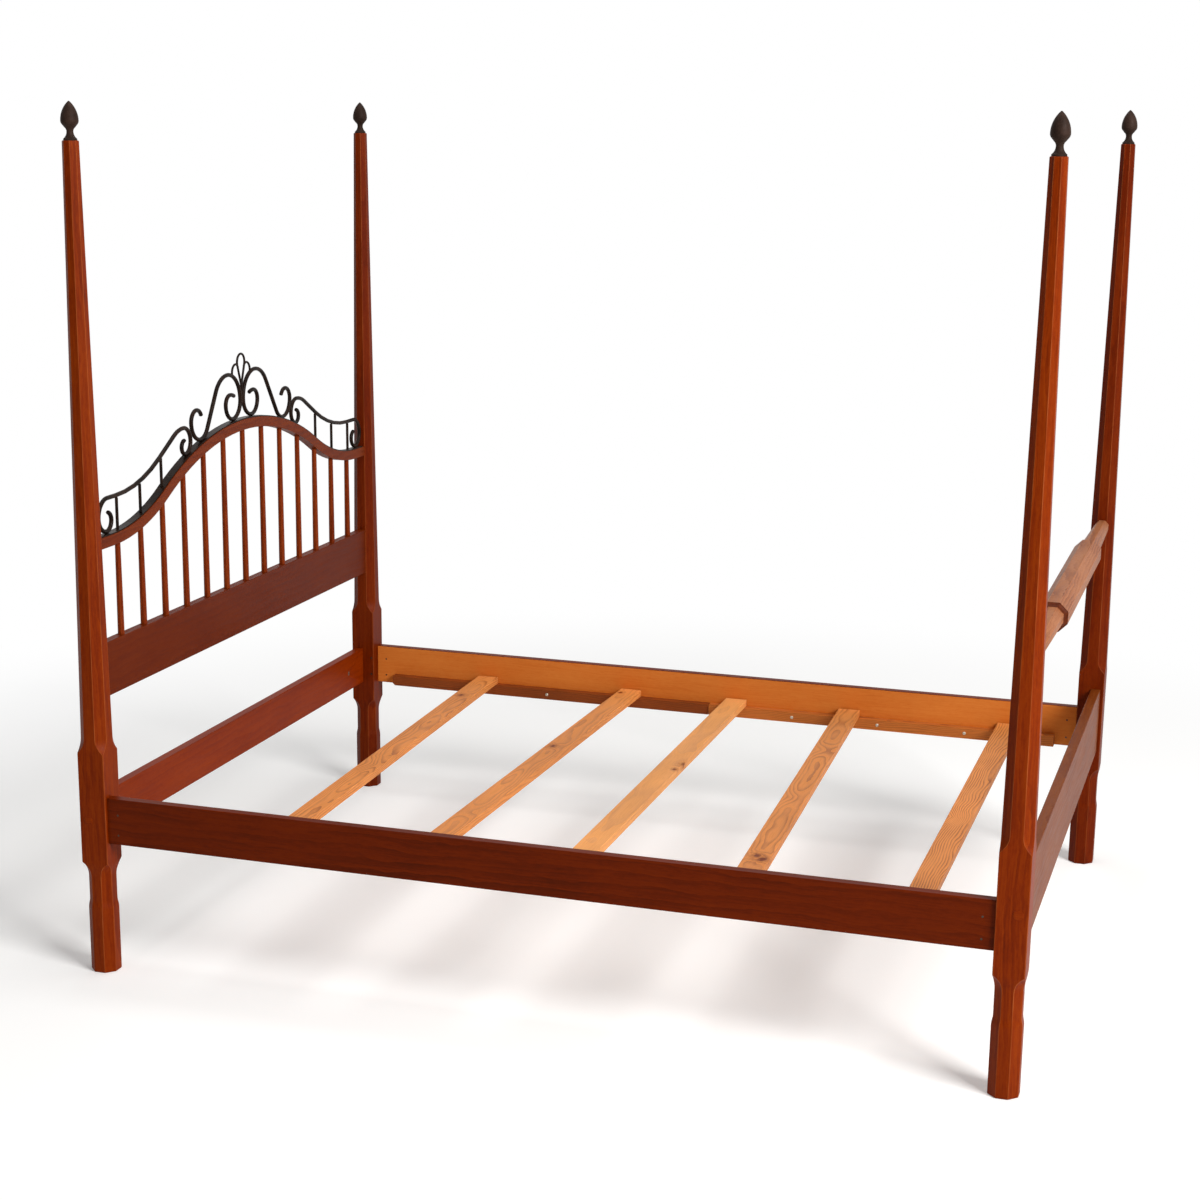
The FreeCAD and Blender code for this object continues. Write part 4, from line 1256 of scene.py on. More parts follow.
@dataclass
class Headboard:
    """Crest rail, panel rail and a row of tapered spindles."""

    spindle_count: int = 13
    pitch: float = 110.2
    foot_flats: float = 15.0
    top_flats: float = 12.0
    arris: float = 0.7
    crest_level: float = 1025.5
    crest_rise: float = 178.5
    crown_radius: float = 910.0
    shoulder_radius: float = 565.0
    crest_wood: StainedCherry = StainedCherry("stained cherry crest rail", "#4C1804", "#642406",
                                              "#74320E")
    panel_wood: StainedCherry = StainedCherry("stained cherry panel rail", "#4E1600", "#581A00",
                                              "#642404")
    head_wood: StainedCherry = StainedCherry("stained cherry head rail", "#661A00", "#762400",
                                             "#863002")
    spindle_wood: StainedCherry = StainedCherry("stained cherry spindles", "#561800", "#702604",
                                                "#86380E", streak_length=120.0, streak_width=3.0,
                                                pore_width=1.2)

    def arch(self, made: ShapeTree) -> bpy.types.NodeSocket:
        """Height of the crest's underside over each point of a tree's line.

        Args:
            made: The tree, whose named inputs give the crest's arcs.

        Returns:
            The height's socket.
        """
        given = made.given
        place = add_node(made.tree, "ShaderNodeSeparateXYZ",
                         {0: made.add("GeometryNodeInputPosition")}).outputs["Y"]
        across = made.math("ABSOLUTE", place)
        crown = made.circle_height(given["Crown Radius"], across)
        crown = made.math("ADD", crown, given["Crown Centre"])
        away = made.math("SUBTRACT", given["Shoulder Place"], across)
        hollow = made.circle_height(given["Shoulder Radius"], away)
        hollow = made.math("SUBTRACT", given["Shoulder Centre"], hollow)
        on_crown = made.math("LESS_THAN", across, given["Bend Place"])
        past = made.math("GREATER_THAN", across, given["Shoulder Place"])
        return made.mixed(past, made.mixed(on_crown, hollow, crown), given["Crest Level"])

    def spindle_row(self) -> bpy.types.Object:
        """The spindles, each cut to the crest's underside by the crest's own arcs.

        Returns:
            One piece with all the spindles.
        """
        both_radii = self.crown_radius + self.shoulder_radius
        turn = math.acos(1 - self.crest_rise / both_radii)
        made = ShapeTree("spindle row", {
            "Count": self.spindle_count,
            "Pitch": metre(self.pitch),
            "Foot Flats": metre(self.foot_flats),
            "Top Flats": metre(self.top_flats),
            "Arris": metre(self.arris),
            "Foot Level": metre(PANEL_RAIL_TOP),
            "Crown Radius": metre(self.crown_radius),
            "Shoulder Radius": metre(self.shoulder_radius),
            "Shoulder Place": metre(both_radii * math.sin(turn)),
            "Bend Place": metre(self.crown_radius * math.sin(turn)),
            "Crown Centre": metre(self.crest_level + self.crest_rise - self.crown_radius),
            "Shoulder Centre": metre(self.crest_level + self.shoulder_radius),
            "Crest Level": metre(self.crest_level)})
        given = made.given
        reach = (self.spindle_count - 1) / 2 * self.pitch
        line = made.add("GeometryNodeMeshLine", {
            "Count": given["Count"], "Start Location": metres(-HALF_LENGTH, -reach, PANEL_RAIL_TOP),
            "Offset": made.vector(y=given["Pitch"])}, mode="OFFSET")
        height = made.math("SUBTRACT", self.arch(made), given["Foot Level"])
        stick = made.add("GeometryNodeCurvePrimitiveLine", {"End": (0.0, 0.0, 1.0)})
        sticks = made.add("GeometryNodeInstanceOnPoints", {
            "Points": line, "Instance": stick, "Scale": made.vector(1.0, 1.0, height)})
        sticks = made.add("GeometryNodeRealizeInstances", {"Geometry": sticks})
        # An eight-sided section, one unit across its flats, which each shaft scales to its own
        eighth = math.pi / 8
        corner = 0.5 / math.cos(eighth)
        section = made.add("GeometryNodeMeshCircle", {"Vertices": 8, "Radius": corner})
        section = made.add("GeometryNodeMeshToCurve", {"Mesh": section})
        section = made.add("GeometryNodeTransform",
                           {"Geometry": section, "Rotation": (0.0, 0.0, eighth)})
        ease = made.math("DIVIDE", given["Arris"], given["Foot Flats"])
        section = made.add("GeometryNodeFilletCurve",
                           {"Curve": section, "Count": 2, "Radius": ease}, mode="POLY")
        share = made.add("GeometryNodeSplineParameter")
        flats = made.mixed(share, given["Foot Flats"], given["Top Flats"])
        shafts = made.add("GeometryNodeCurveToMesh", {
            "Curve": sticks, "Profile Curve": section, "Scale": flats, "Fill Caps": True})
        return made.applied(new_piece("spindle_row"), shafts, self.spindle_wood.made(Axis.UP, 4.0))

    def build(self) -> None:
        """Makes the spindles and dresses the rails."""
        for node, wood, seed in (("headboard_crest_rail", self.crest_wood, 1.0),
                                 ("headboard_panel_rail", self.panel_wood, 2.0),
                                 ("head_lower_rail", self.head_wood, 3.0)):
            dress(node, wood.made(Axis.ACROSS, seed), "rail_cherry")
        row = weighted(self.spindle_row())
        names = ["headboard_spindle_%02d" % (number + 1) for number in range(self.spindle_count)]
        finished(row, list(row.data.materials), "spindle_cherry", "bed_frame", *names)


@dataclass
class BentBar:
    """A path of straight runs and tangent arcs in the headboard's plane, in millimetres."""

    start: tuple[float, float]
    heading: float
    steps: list[tuple[float, float] | float]
    mirrored: bool = False
    step_angle: float = 5.0
    run_steps: int = 8
    blunt: float = 2.4
    blunt_shares: tuple[float, ...] = (0.08, 0.3, 0.6, 1.0)

    def places(self) -> list[tuple[float, float]]:
        """Places along the path.

        Returns:
            Places across and up, in millimetres.
        """
        y, z = self.start
        heading = math.radians(self.heading)
        places = [(y, z)]
        for step in self.steps:
            if isinstance(step, tuple):
                radius, turn = step
                side = math.copysign(math.pi / 2, turn)
                centre_y = y + radius * math.cos(heading + side)
                centre_z = z + radius * math.sin(heading + side)
                count = max(2, int(abs(turn) / self.step_angle))
                for number in range(1, count + 1):
                    angle = heading + math.radians(turn) * number / count + side
                    places.append((centre_y - radius * math.cos(angle),
                                   centre_z - radius * math.sin(angle)))
                heading += math.radians(turn)
            else:
                for number in range(1, self.run_steps + 1):
                    run = step * number / self.run_steps
                    places.append((y + run * math.cos(heading), z + run * math.sin(heading)))
            y, z = places[-1]
        return places

    def points(self) -> list[Vector]:
        """Points along the path, close together at its blunt ends.

        Returns:
            Points in metres.
        """
        sign = -1.0 if self.mirrored else 1.0
        line = [Vector(metres(-HALF_LENGTH, sign * across, up)) for across, up in self.places()]
        for _ in range(2):
            run = (line[1] - line[0]).normalized()
            extra = [line[0] + run * metre(self.blunt * share) for share in self.blunt_shares]
            line = [line[0], *extra, *line[1:]]
            line.reverse()
        return line


@dataclass
class CrestHalf:
    """Where the bars of one half of the crest start and how long their straight runs are."""

    name: str
    mirrored: bool
    scroll_start: tuple[float, float]
    scroll_fall: float
    scroll_run: float
    side_bar_start: tuple[float, float]
    side_bar_run: float
    side_bar_level: float
    upright_spans: dict[float, tuple[float, float]]
    loop_start: tuple[float, float]

    def scroll(self) -> BentBar:
        """The large scroll.

        Returns:
            Its path, from its inner curl over the top to its outer curl.
        """
        steps = [(54.0, -26.0), (25.0, -90.0), (37.5, -90.0), (45.0, -90.0), (70.0, -90.0),
                 (77.0, -self.scroll_fall), self.scroll_run, (45.0, self.scroll_fall),
                 (46.0, 90.0), (29.0, 90.0), (27.0, 68.0)]
        return BentBar(self.scroll_start, 26.0, steps, self.mirrored)

    def side_bar(self) -> BentBar:
        """The side bar.

        Returns:
            Its path, from its upper curl down the slope to its lower curl.
        """
        steps = [(16.0, -90.0), (18.0, -90.0), (29.0, -90.0), (36.0, -90.0), (100.0, -29.0),
                 self.side_bar_run, (440.0, 29.0), self.side_bar_level, (43.0, -90.0),
                 (34.0, -90.0), (24.0, -90.0), (20.0, -78.0)]
        return BentBar(self.side_bar_start, 0.0, steps, self.mirrored)

    def uprights(self) -> list[BentBar]:
        """The uprights from the strap to the side bar."""
        return [BentBar((place, low), 90.0, [high - low], self.mirrored)
                for place, (low, high) in self.upright_spans.items()]

    def small_loop(self) -> BentBar:
        """The small loop that grows from the top of the scroll."""
        steps = [7.0, (21.0, 90.0), (13.0, 50.0), 6.0]
        return BentBar(self.loop_start, 90.0, steps, self.mirrored)


@dataclass
class CrestIronwork:
    """The scrolls, side bars, uprights and loops on the crest, and their strap."""

    bar: float = 10.5
    upright: float = 7.5
    loop: float = 5.8
    stem: float = 6.8
    offset: float = 2.5
    loop_lean: float = 20.0
    loop_radius: float = 21.0
    loop_foot: float = 1302.6
    stem_drop: float = 46.0
    stem_length: float = 50.0
    end_width: float = 0.45
    hammer_size: float = 12.0
    hammer_depth: float = 0.35
    iron: ForgedIron = ForgedIron("forged black iron")
    screws: TurnedFitting = TurnedFitting("black oxide screws", "#3A3530", "#26211D", 0.5)

    def halves(self) -> tuple[CrestHalf, CrestHalf]:
        """The crest's two halves, which differ a little.

        Returns:
            The right half and the left half.
        """
        right = CrestHalf(
            "right", mirrored=False, scroll_start=(44.828, 1280.190), scroll_fall=56.0,
            scroll_run=111.424, side_bar_start=(327.5, 1199.756), side_bar_run=81.889,
            side_bar_level=46.831, loop_start=(53.5, 1332.527),
            upright_spans={451.5: (1102.280, 1174.278), 559.0: (1060.419, 1131.688),
                           670.5: (1042.084, 1118.5)})
        left = CrestHalf(
            "left", mirrored=True, scroll_start=(39.828, 1280.479), scroll_fall=58.5,
            scroll_run=99.553, side_bar_start=(315.5, 1204.167), side_bar_run=90.988,
            side_bar_level=38.873, loop_start=(48.5, 1332.816),
            upright_spans={439.5: (1108.656, 1178.690), 547.0: (1063.837, 1133.761),
                           658.5: (1042.936, 1118.513)})
        return right, left

    def swept(self, name: str, paths: list[BentBar], diameter: float) -> bpy.types.Object:
        """Bars swept along paths, hammered all over, with blunt rounded ends.

        Args:
            name: The piece's name.
            paths: The bars' paths.
            diameter: The bars' diameter in millimetres.

        Returns:
            The piece.
        """
        tool = bmesh.new()
        for path in paths:
            verts = [tool.verts.new(point) for point in path.points()]
            for pair in zip(verts, verts[1:]):
                tool.edges.new(pair)
        made = ShapeTree(name + " sweep", {
            "Diameter": metre(diameter),
            "Blunt Length": metre(diameter) / 4,
            "Hammer Size": metre(self.hammer_size),
            "Hammer Depth": metre(self.hammer_depth),
            "Seed": 7})
        given = made.given
        curve = made.add("GeometryNodeMeshToCurve", {"Mesh": given["Geometry"]})
        spline = add_node(made.tree, "GeometryNodeSplineParameter")
        along, total = spline.outputs["Length"], made.add("GeometryNodeSplineLength")
        to_end = made.math("MINIMUM", along, made.math("SUBTRACT", total, along))
        share = made.math("MINIMUM", made.math("DIVIDE", to_end, given["Blunt Length"]), 1.0)
        round_end = made.circle_height(1.0, made.math("SUBTRACT", 1.0, share))
        width = made.math("MULTIPLY_ADD", round_end, 1.0 - self.end_width, self.end_width)
        ring = made.add("GeometryNodeCurvePrimitiveCircle", {
            "Resolution": 16, "Radius": made.math("DIVIDE", given["Diameter"], 2.0)})
        tube = made.add("GeometryNodeCurveToMesh", {
            "Curve": curve, "Profile Curve": ring, "Scale": width, "Fill Caps": True})
        fineness = made.math("DIVIDE", 1.0, given["Hammer Size"])
        place = made.scaled(made.add("GeometryNodeInputPosition"), fineness)
        noise = made.add("ShaderNodeTexNoise", {
            "Vector": place, "W": given["Seed"], "Scale": 1.0, "Detail": 1.0},
            noise_dimensions="4D")
        dent = made.math("MULTIPLY", made.math("SUBTRACT", noise, 0.5), given["Hammer Depth"])
        move = made.scaled(made.add("GeometryNodeInputNormal"), dent)
        tube = made.add("GeometryNodeSetPosition", {"Geometry": tube, "Offset": move})
        tube = made.add("GeometryNodeSetShadeSmooth", {"Geometry": tube})
        return made.applied(new_piece(name, mesh_of(tool, name)), tube, self.iron.made())

    def forge(self, node: str, name: str, paths: list[BentBar], diameter: float) -> None:
        """Makes and dresses the bars of one CAD node.

        Args:
            node: The CAD node.
            name: The piece's name.
            paths: The bars' paths.
            diameter: The bars' diameter in millimetres.
        """
        piece = self.swept(name, paths, diameter)
        finished(piece, list(piece.data.materials), "crest_iron", "bed_frame", node)

    def build(self) -> None:
        """Makes the bars and dresses the strap and its screws."""
        small_loops = []
        for half in self.halves():
            for kind, paths, diameter in (("scroll", [half.scroll()], self.bar),
                                          ("side_bar", [half.side_bar()], self.bar),
                                          ("uprights", half.uprights(), self.upright)):
                node = "%s_%s" % (kind, half.name)
                self.forge(node, node + "_forged", paths, diameter)
            small_loops.append(half.small_loop())
        leg = self.loop_radius / math.tan(math.radians(self.loop_lean))
        heading = 90.0 + self.loop_lean
        steps = [leg, (self.loop_radius, -2 * heading), leg]
        loop = BentBar((self.offset, self.loop_foot), heading, steps)
        stem_foot = (self.offset, self.loop_foot - self.stem_drop)
        stem = BentBar(stem_foot, 90.0, [self.stem_length])
        self.forge("crest_loops", "crest_loops_forged", [loop, *small_loops], self.loop)
        self.forge("crest_loops", "crest_stem_forged", [stem], self.stem)
        for node, finish in (("crest_strap", self.iron), ("crest_strap_screws", self.screws)):
            dress(node, finish.made(), "crest_iron")


@dataclass
class EndAndSideRails:
    """Foot rail, side rails, ledgers and the fittings that hold them."""

    ledger_middle: tuple[float, float] = (12.0, 14.0)
    ledger_gap: float = 57.5
    middle_gap: float = 1.0
    screws_in_row: int = 3
    screw_head: float = 9.0
    screw_rise: float = 0.8
    screw_sink: float = 0.2
    recess_width: float = 1.1
    recess_depth: float = 2.4
    recess_level: float = 0.9
    recess_share: float = 0.62
    crown_share: float = 0.42
    shank: float = 4.5
    shank_length: float = 40.0
    pin_proud: float = 0.3
    plug_proud: float = 0.4
    foot_wood: StainedCherry = StainedCherry("stained cherry foot rail", "#562206", "#6C320E",
                                             "#80441C")
    side_wood: StainedCherry = StainedCherry("stained cherry side rails", "#4A1400", "#5C1A00",
                                             "#6A2200", ring_share=0.32, ring_width=24.0)
    bare_wood: StainedCherry = StainedCherry("bare cherry inner faces", "#BC5E1E", "#C86C28",
                                             "#D07A34", ring_share=0.06, roughness=0.5)
    plug_wood: StainedCherry = StainedCherry("stained cherry plugs")
    # The head ledgers take a darker copy of the pine, painted shade under the rails and slats
    ledger_wood: tuple[SawnPine, SawnPine] = (
        SawnPine("dark pine head ledgers", "#823C12", "#56260C", ring_width=4.5),
        SawnPine("sawn pine foot ledgers", "#B4642A", "#7C4016", ring_width=4.5))
    hook: TurnedFitting = TurnedFitting("blued hook steel", "#55504A", "#35302C", 0.42)
    pin: TurnedFitting = TurnedFitting("dark steel pins", "#4A423A", "#2E2722", 0.45)
    bolt: TurnedFitting = TurnedFitting("plain steel bolts", "#8C8880", "#6A645C", 0.36)
    screw: TurnedFitting = TurnedFitting("zinc plated screws", "#CFC6B6", "#8E8474", 0.4)

    def screw_shape(self, made: ShapeTree) -> bpy.types.NodeSocket:
        """One cross-recessed screw along Z, with its head at the origin.

        Args:
            made: The tree, whose named inputs give the screw's sizes.

        Returns:
            The screw's socket.
        """
        given = made.given
        head = made.add("GeometryNodeMeshCone", {
            "Vertices": 32, "Radius Top": made.math("MULTIPLY", given["Head"], self.crown_share),
            "Radius Bottom": made.math("DIVIDE", given["Head"], 2.0),
            "Depth": metre(self.screw_rise)})
        sunk = (0.0, 0.0, -metre(self.screw_sink))
        head = made.add("GeometryNodeTransform", {"Geometry": head, "Translation": sunk})
        long_side = made.math("MULTIPLY", given["Head"], self.recess_share)
        long_side = made.math("ADD", long_side, given["Recess"])
        arms = []
        for x, y in ((long_side, given["Recess"]), (given["Recess"], long_side)):
            size = made.vector(x, y, metre(self.recess_depth))
            arm = made.add("GeometryNodeMeshCube", {"Size": size})
            level = (0.0, 0.0, metre(self.recess_level))
            arms.append(made.add("GeometryNodeTransform", {"Geometry": arm, "Translation": level}))
        head = made.joined("GeometryNodeMeshBoolean", arms, "Mesh 2", {"Mesh 1": head},
                           operation="DIFFERENCE", solver="EXACT")
        shank = made.add("GeometryNodeMeshCylinder", {
            "Vertices": 16, "Radius": made.math("DIVIDE", given["Shank"], 2.0),
            "Depth": given["Shank Length"]})
        down = made.vector(z=made.math("DIVIDE", given["Shank Length"], -2.0))
        shank = made.add("GeometryNodeTransform", {"Geometry": shank, "Translation": down})
        return made.joined("GeometryNodeJoinGeometry", [head, shank], "Geometry")

    def screw_heads(self, name: str, side: int) -> bpy.types.Object:
        """Bright cross-recessed screw heads in a row on the ledgers of one side rail.

        Args:
            name: The piece's name.
            side: 1 on the far rail, -1 on the near one.

        Returns:
            The piece.
        """
        reach = HALF_LENGTH - BLOCK_HALF - self.ledger_gap
        pitch = (reach - self.middle_gap) / (self.screws_in_row + 1)
        made = ShapeTree(name + " row", {
            "Count": self.screws_in_row,
            "Pitch": metre(pitch),
            "Head": metre(self.screw_head),
            "Recess": metre(self.recess_width),
            "Shank": metre(self.shank),
            "Shank Length": metre(self.shank_length)})
        step = made.vector(x=made.given["Pitch"])
        level = RAIL_BOTTOM + LEDGER_HEIGHT / 2
        rows = []
        for first in (-reach + pitch, self.middle_gap + pitch):
            start = metres(first, side * (HALF_WIDTH - LEDGER_THICKNESS), level)
            rows.append(made.add("GeometryNodeMeshLine", {
                "Count": made.given["Count"], "Start Location": start, "Offset": step},
                mode="OFFSET"))
        screws = made.add("GeometryNodeInstanceOnPoints", {
            "Points": made.joined("GeometryNodeJoinGeometry", rows, "Geometry"),
            "Instance": self.screw_shape(made), "Rotation": (side * math.pi / 2, 0.0, 0.0)})
        return made.applied(new_piece(name), screws, self.screw.made())

    def proud_copy(self, node: str, inward: bool, amount: float) -> bpy.types.Object:
        """A copy of a group of rods whose visible ends stand a little proud of the wood.

        Args:
            node: The CAD node.
            inward: Whether the visible ends face the middle of the bed.
            amount: How far they stand out, in millimetres.

        Returns:
            The piece.
        """
        piece = smooth_copy(node)
        reaches = [abs(vertex.co.y) for vertex in piece.data.vertices]
        limit = min(reaches) if inward else max(reaches)
        move = metre(-amount if inward else amount)
        for vertex, reach in zip(piece.data.vertices, reaches):
            if abs(reach - limit) < 10 * SAME_POINT:
                vertex.co.y += math.copysign(1.0, vertex.co.y) * move
        return piece

    def with_bare_face(self, rail: bpy.types.Object, side: int) -> bpy.types.Object:
        """Marks a side rail's inner face, which was left without the dark stain.

        Args:
            rail: The rail.
            side: 1 on the far rail, -1 on the near one.

        Returns:
            The same rail.
        """
        for face in rail.data.polygons:
            if face.normal.y * side < -0.9 and abs(face.center.y) < metre(HALF_WIDTH + 0.5):
                face.material_index = 1
        return rail

    def side_rail(self, side: str, sign: int, body: str) -> None:
        """Dresses one side rail with what it carries, and makes its screws.

        Args:
            side: The side's name.
            sign: 1 on the far side, -1 on the near one.
            body: The body that they move with.
        """
        rail = side + "_side_rail"
        dressing = [self.side_wood.made(Axis.ALONG, 7.0 + sign),
                    self.bare_wood.made(Axis.ALONG, 11.0 + sign)]
        piece = self.with_bare_face(smooth_copy(rail), sign)
        finished(piece, dressing, "rail_cherry", body, rail)
        inset, lift = self.ledger_middle
        place = (sign * (HALF_WIDTH - inset), RAIL_BOTTOM + lift)
        for number, end in enumerate(("head", "foot")):
            pine = self.ledger_wood[number].made(Axis.ALONG, place, 0.0, 1.0 + number + sign)
            dress("%s_ledger_%s" % (side, end), pine, "ledger_pine", body)
            dress("%s_hook_plate_%s" % (side, end), self.hook.made(), "hook_steel", body)
        screws = self.screw_heads(side + "_screw_row", sign)
        finished(screws, list(screws.data.materials), "screw_zinc", body, side + "_ledger_screws")
        dress(side + "_plate_rivets", self.pin.made(), "pin_steel", body)

    def build(self) -> None:
        """Dresses the rails and makes the screws."""
        dress("foot_rail", self.foot_wood.made(Axis.ACROSS, 6.0), "rail_cherry")
        self.side_rail("near", -1, "near_side")
        self.side_rail("far", 1, "far_side")
        pins = self.proud_copy("post_hook_pins", True, self.pin_proud)
        finished(pins, [self.pin.made()], "pin_steel", "bed_frame", "post_hook_pins")
        for node in ("bed_bolts", "barrel_nuts"):
            dress(node, self.bolt.made(), "pin_steel")
        plugs = self.proud_copy("bolt_plugs", False, self.plug_proud)
        plug_wood = self.plug_wood.made(Axis.ALONG, 9.0)
        finished(plugs, [plug_wood], "plug_cherry", "bed_frame", "bolt_plugs")


@dataclass(frozen=True)
class Slat:
    """One slat's place as a share of the bed's length, its skew in degrees, and its wood."""

    place_share: float
    skew: float
    wood: SawnPine
    knots: tuple[Knot, ...]


@dataclass
class Slats:
    """Five loose pine slats on the ledgers."""

    width: float = 60.0
    arris: float = 1.2
    reach: float = HALF_WIDTH - 4.0
    slats: tuple[Slat, ...] = (
        Slat(-0.3060, 1.8, SawnPine("sawn pine slats", ring_width=4.6, heart_aside=14.0),
             (Knot(-676.0, 562.0, 7.0), Knot(-640.0, -156.0, 14.0, True))),
        Slat(-0.1200, -1.4, SawnPine("sawn pine slats", heart_aside=-6.0, late_strength=0.5),
             (Knot(-255.0, 745.0, 5.0), Knot(-261.0, 156.0, 8.0),
              Knot(-242.0, -446.0, 16.0, True))),
        Slat(0.0360, 0.0, SawnPine("pale sawn pine slats", "#E49C5A", ring_width=10.0,
                                   heart_depth=60.0, late_strength=0.25),
             (Knot(111.0, 114.0, 9.0), Knot(99.0, 60.0, 5.0))),
        Slat(0.2050, 2.4, SawnPine("sawn pine slats", ring_width=7.0, heart_aside=5.0,
                                   late_strength=0.7),
             (Knot(474.0, -548.0, 10.0), Knot(456.0, -528.0, 8.0),
              Knot(429.0, -71.0, 18.0, True), Knot(409.0, 358.0, 15.0, True))),
        Slat(0.3980, 0.0, SawnPine("close grown pine slats", ring_width=5.0, heart_depth=24.0,
                                   heart_aside=34.0, late_strength=1.0),
             (Knot(830.0, -96.0, 12.0, True),)))

    def board(self, number: int, slat: Slat) -> bpy.types.Object:
        """One slat, swept from its eased section.

        Args:
            number: Which slat, from 1 at the head.
            slat: Where and of what it is.

        Returns:
            The piece.
        """
        x = slat.place_share * BED_LENGTH
        top = RAIL_BOTTOM + LEDGER_HEIGHT + SLAT_THICKNESS
        made = ShapeTree("slat board %d" % number, {
            "Width": metre(self.width),
            "Thickness": metre(SLAT_THICKNESS),
            "Half Length": metre(self.reach),
            "Arris": metre(self.arris),
            "Skew": math.radians(slat.skew),
            "Place": metres(x, 0.0, top - SLAT_THICKNESS / 2)})
        given = made.given
        section = made.add("GeometryNodeCurvePrimitiveQuadrilateral",
                           {"Width": given["Width"], "Height": given["Thickness"]})
        section = made.add("GeometryNodeFilletCurve",
                           {"Curve": section, "Count": 3, "Radius": given["Arris"]}, mode="POLY")
        near = made.vector(y=made.math("MULTIPLY", given["Half Length"], -1.0))
        far = made.vector(y=given["Half Length"])
        line = made.add("GeometryNodeCurvePrimitiveLine", {"Start": near, "End": far})
        board = made.add("GeometryNodeCurveToMesh",
                         {"Curve": line, "Profile Curve": section, "Fill Caps": True})
        board = made.add("GeometryNodeTransform", {
            "Geometry": board, "Translation": given["Place"],
            "Rotation": made.vector(z=given["Skew"])})
        material = slat.wood.made(Axis.ACROSS, (-x, top), slat.skew, float(number), slat.knots)
        return made.applied(new_piece("slat_%d_board_shaped" % number), board, material)

    def build(self) -> None:
        """Makes the slats."""
        for number, slat in enumerate(self.slats, 1):
            board = weighted(self.board(number, slat))
            node = "slat_%d" % number
            finished(board, list(board.data.materials), "slat_pine", node + "_board", node)


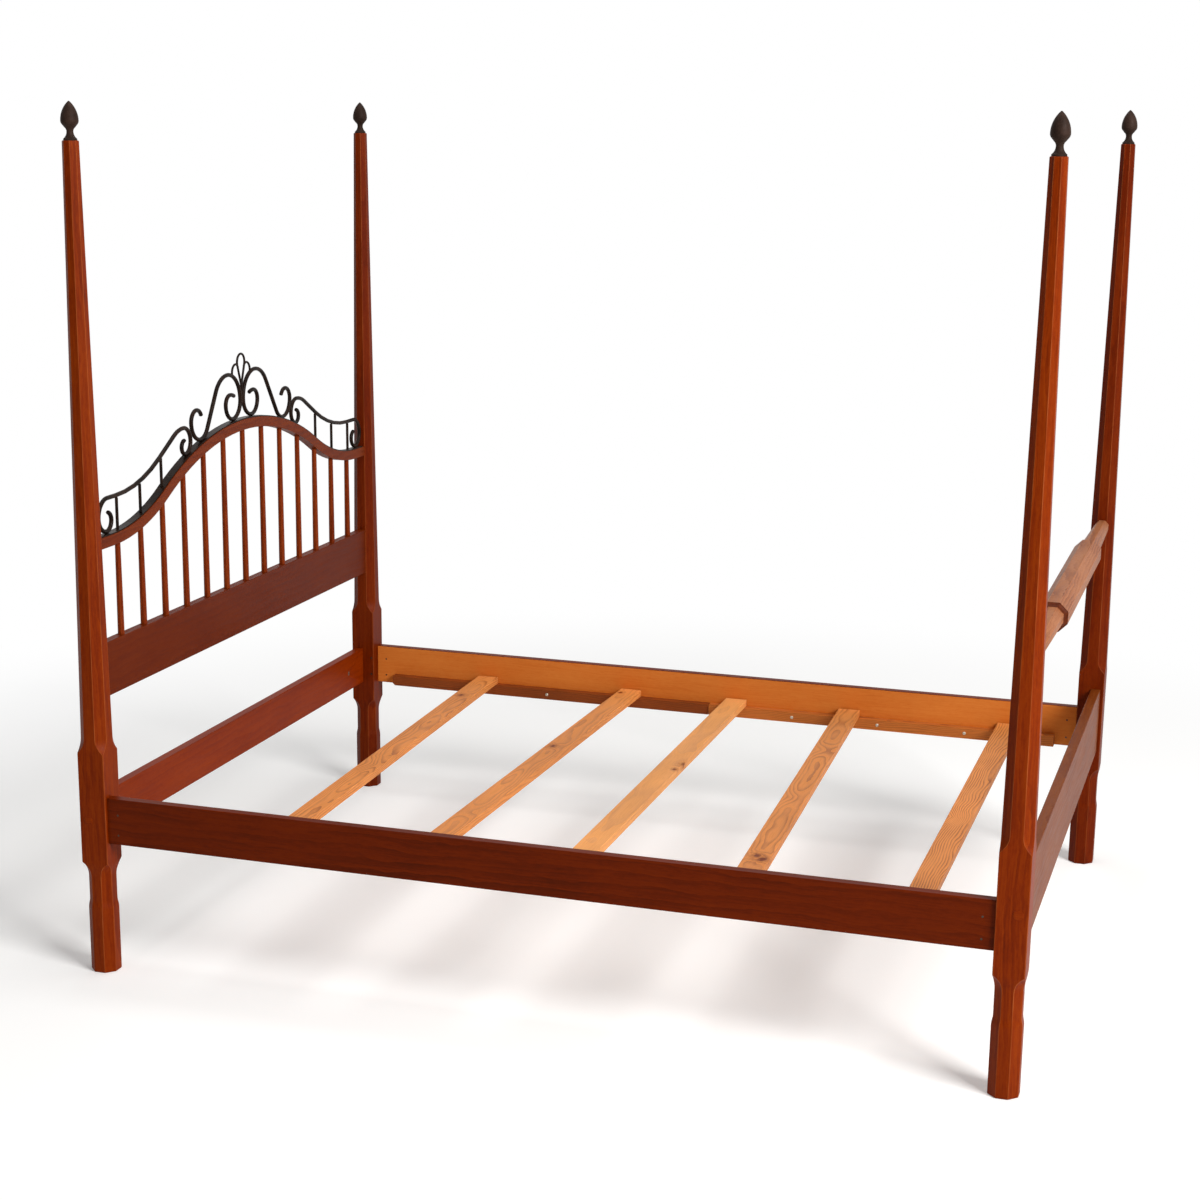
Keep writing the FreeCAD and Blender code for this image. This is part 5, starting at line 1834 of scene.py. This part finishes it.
@dataclass
class Studio:
    """Pale floor, white surroundings, soft lamps and the camera."""

    white: str = "#FFFFFF"
    floor_white: str = "#F4F3F1"
    floor_reach: float = 60.0
    floor_lift: float = 0.18
    fade_start: float = 1.2
    fade_end: float = 3.6
    key_power: float = 840.0
    strip_power: float = 20.0
    top_power: float = 160.0
    surroundings: float = 0.12
    camera_place: tuple[float, float, float] = (1.5469, -5.2367, 2.0236)
    camera_angles: tuple[float, float, float] = (17.9071, 13.9757, 0.5398)
    lens: float = 67.307
    sensor: float = 36.0
    shift: tuple[float, float] = (0.01876, 0.0495)

    def white_share(self, tree: bpy.types.NodeTree) -> bpy.types.NodeSocket:
        """Which rays see plain white.

        Args:
            tree: The tree that asks.

        Returns:
            The socket that is 1 for rays from the camera and from glossy or clear surfaces.
        """
        path = add_node(tree, "ShaderNodeLightPath").outputs
        share = path["Is Camera Ray"]
        for name in ("Is Glossy Ray", "Is Transmission Ray"):
            inputs = {0: share, 1: path[name]}
            share = add_node(tree, "ShaderNodeMath", inputs, operation="MAXIMUM").outputs[0]
        return share

    def floor_material(self) -> bpy.types.Material:
        """Matt white that keeps the shadow near the bed and fades to white away from it.

        Returns:
            The floor's material.
        """
        material = bpy.data.materials.new("matt white floor")
        material.use_nodes = True
        tree = material.node_tree
        tree.nodes.clear()
        place = add_node(tree, "ShaderNodeTexCoord").outputs["Object"]
        distance = add_node(tree, "ShaderNodeVectorMath", {0: place}, operation="LENGTH")
        fade = add_node(tree, "ShaderNodeMapRange", {
            "Value": distance.outputs["Value"], "From Min": self.fade_start,
            "From Max": self.fade_end}, interpolation_type="SMOOTHSTEP").outputs[0]
        seen = self.white_share(tree)
        shares = [add_node(tree, "ShaderNodeMath", {0: seen, 1: value}, operation="MULTIPLY")
                  for value in (fade, self.floor_lift)]
        share, lift = (node.outputs[0] for node in shares)
        matt = add_node(tree, "ShaderNodeBsdfDiffuse", {"Color": linear(self.floor_white)})
        raised, glow = (add_node(tree, "ShaderNodeEmission",
                                 {"Color": linear(self.white), "Strength": strength}).outputs[0]
                        for strength in (lift, 1.0))
        lifted = add_node(tree, "ShaderNodeAddShader", {0: matt.outputs[0], 1: raised}).outputs[0]
        surface = add_node(tree, "ShaderNodeMixShader", {0: share, 1: lifted, 2: glow})
        add_node(tree, "ShaderNodeOutputMaterial", {"Surface": surface.outputs[0]})
        return material

    def floor(self) -> None:
        """Lays the pale floor."""
        tool = bmesh.new()
        bmesh.ops.create_grid(tool, x_segments=1, y_segments=1, size=self.floor_reach)
        shape = mesh_of(tool, "floor")
        shape.materials.append(self.floor_material())
        new_piece("floor", shape)

    def world(self) -> None:
        """White surroundings for the camera, and even light for the bed."""
        world = bpy.data.worlds.new("white studio")
        world.use_nodes = True
        tree = world.node_tree
        tree.nodes.clear()
        even, white = (add_node(tree, "ShaderNodeBackground",
                                {"Color": linear(self.white), "Strength": strength}).outputs[0]
                       for strength in (self.surroundings, 1.0))
        inputs = {0: self.white_share(tree), 1: even, 2: white}
        mixed = add_node(tree, "ShaderNodeMixShader", inputs).outputs[0]
        add_node(tree, "ShaderNodeOutputWorld", {"Surface": mixed})
        bpy.context.scene.world = world

    def lamp(self, name: str, place: tuple[float, float, float], aim: tuple[float, float, float],
             power: float, width: float, height: float) -> None:
        """A soft oblong lamp.

        Args:
            name: The lamp's name.
            place: Where it hangs, in metres.
            aim: What it points at, in metres.
            power: Its power in watts.
            width: Its width in metres.
            height: Its height in metres.
        """
        light = bpy.data.lights.new(name, "AREA")
        light.shape = "RECTANGLE"
        light.energy = power
        light.size = width
        light.size_y = height
        lamp = bpy.data.objects.new(name, light)
        lamp.location = place
        lamp.rotation_euler = (Vector(aim) - Vector(place)).to_track_quat("-Z", "Y").to_euler()
        bpy.context.scene.collection.objects.link(lamp)

    def camera(self) -> None:
        """The camera at the photograph's angle."""
        yaw, pitch, roll = (math.radians(angle) for angle in self.camera_angles)
        ahead = Vector((-math.sin(yaw) * math.cos(pitch), math.cos(yaw) * math.cos(pitch),
                        -math.sin(pitch)))
        level = ahead.cross(Vector((0.0, 0.0, 1.0))).normalized()
        upright = level.cross(ahead)
        right = level * math.cos(roll) + upright * math.sin(roll)
        up = upright * math.cos(roll) - level * math.sin(roll)
        turned = Matrix((right, up, -ahead)).transposed().to_4x4()
        data = bpy.data.cameras.new("photograph camera")
        data.lens = self.lens
        data.sensor_width = self.sensor
        data.shift_x, data.shift_y = self.shift
        camera = bpy.data.objects.new("photograph camera", data)
        camera.matrix_world = Matrix.Translation(Vector(self.camera_place)) @ turned
        bpy.context.scene.collection.objects.link(camera)
        bpy.context.scene.camera = camera

    def build(self) -> None:
        """Sets up floor, world, lamps and camera."""
        self.floor()
        self.world()
        self.lamp("key", (6.6, -4.1, 5.0), (0.0, 0.0, 0.7), self.key_power, 3.5, 3.5)
        self.lamp("strip", (4.95, -4.3, 1.7), (-1.0, -0.8, 1.3), self.strip_power, 0.5, 1.0)
        self.lamp("top", (0.0, 0.2, 6.2), (0.0, 0.0, 0.0), self.top_power, 4.0, 4.0)
        self.camera()
        bpy.context.scene.view_settings.view_transform = "Standard"


def main() -> None:
    """Builds the bed's sub-assemblies in order, then the studio."""
    logging.basicConfig(level=logging.INFO, format="%(name)s %(message)s")
    for group in (Posts(), Finials(), Headboard(), CrestIronwork(), EndAndSideRails(), Slats(),
                  BlanketRail()):
        log.info("building %s", type(group).__name__)
        group.build()
    Studio().build()


if __name__ == "__main__":
    main()
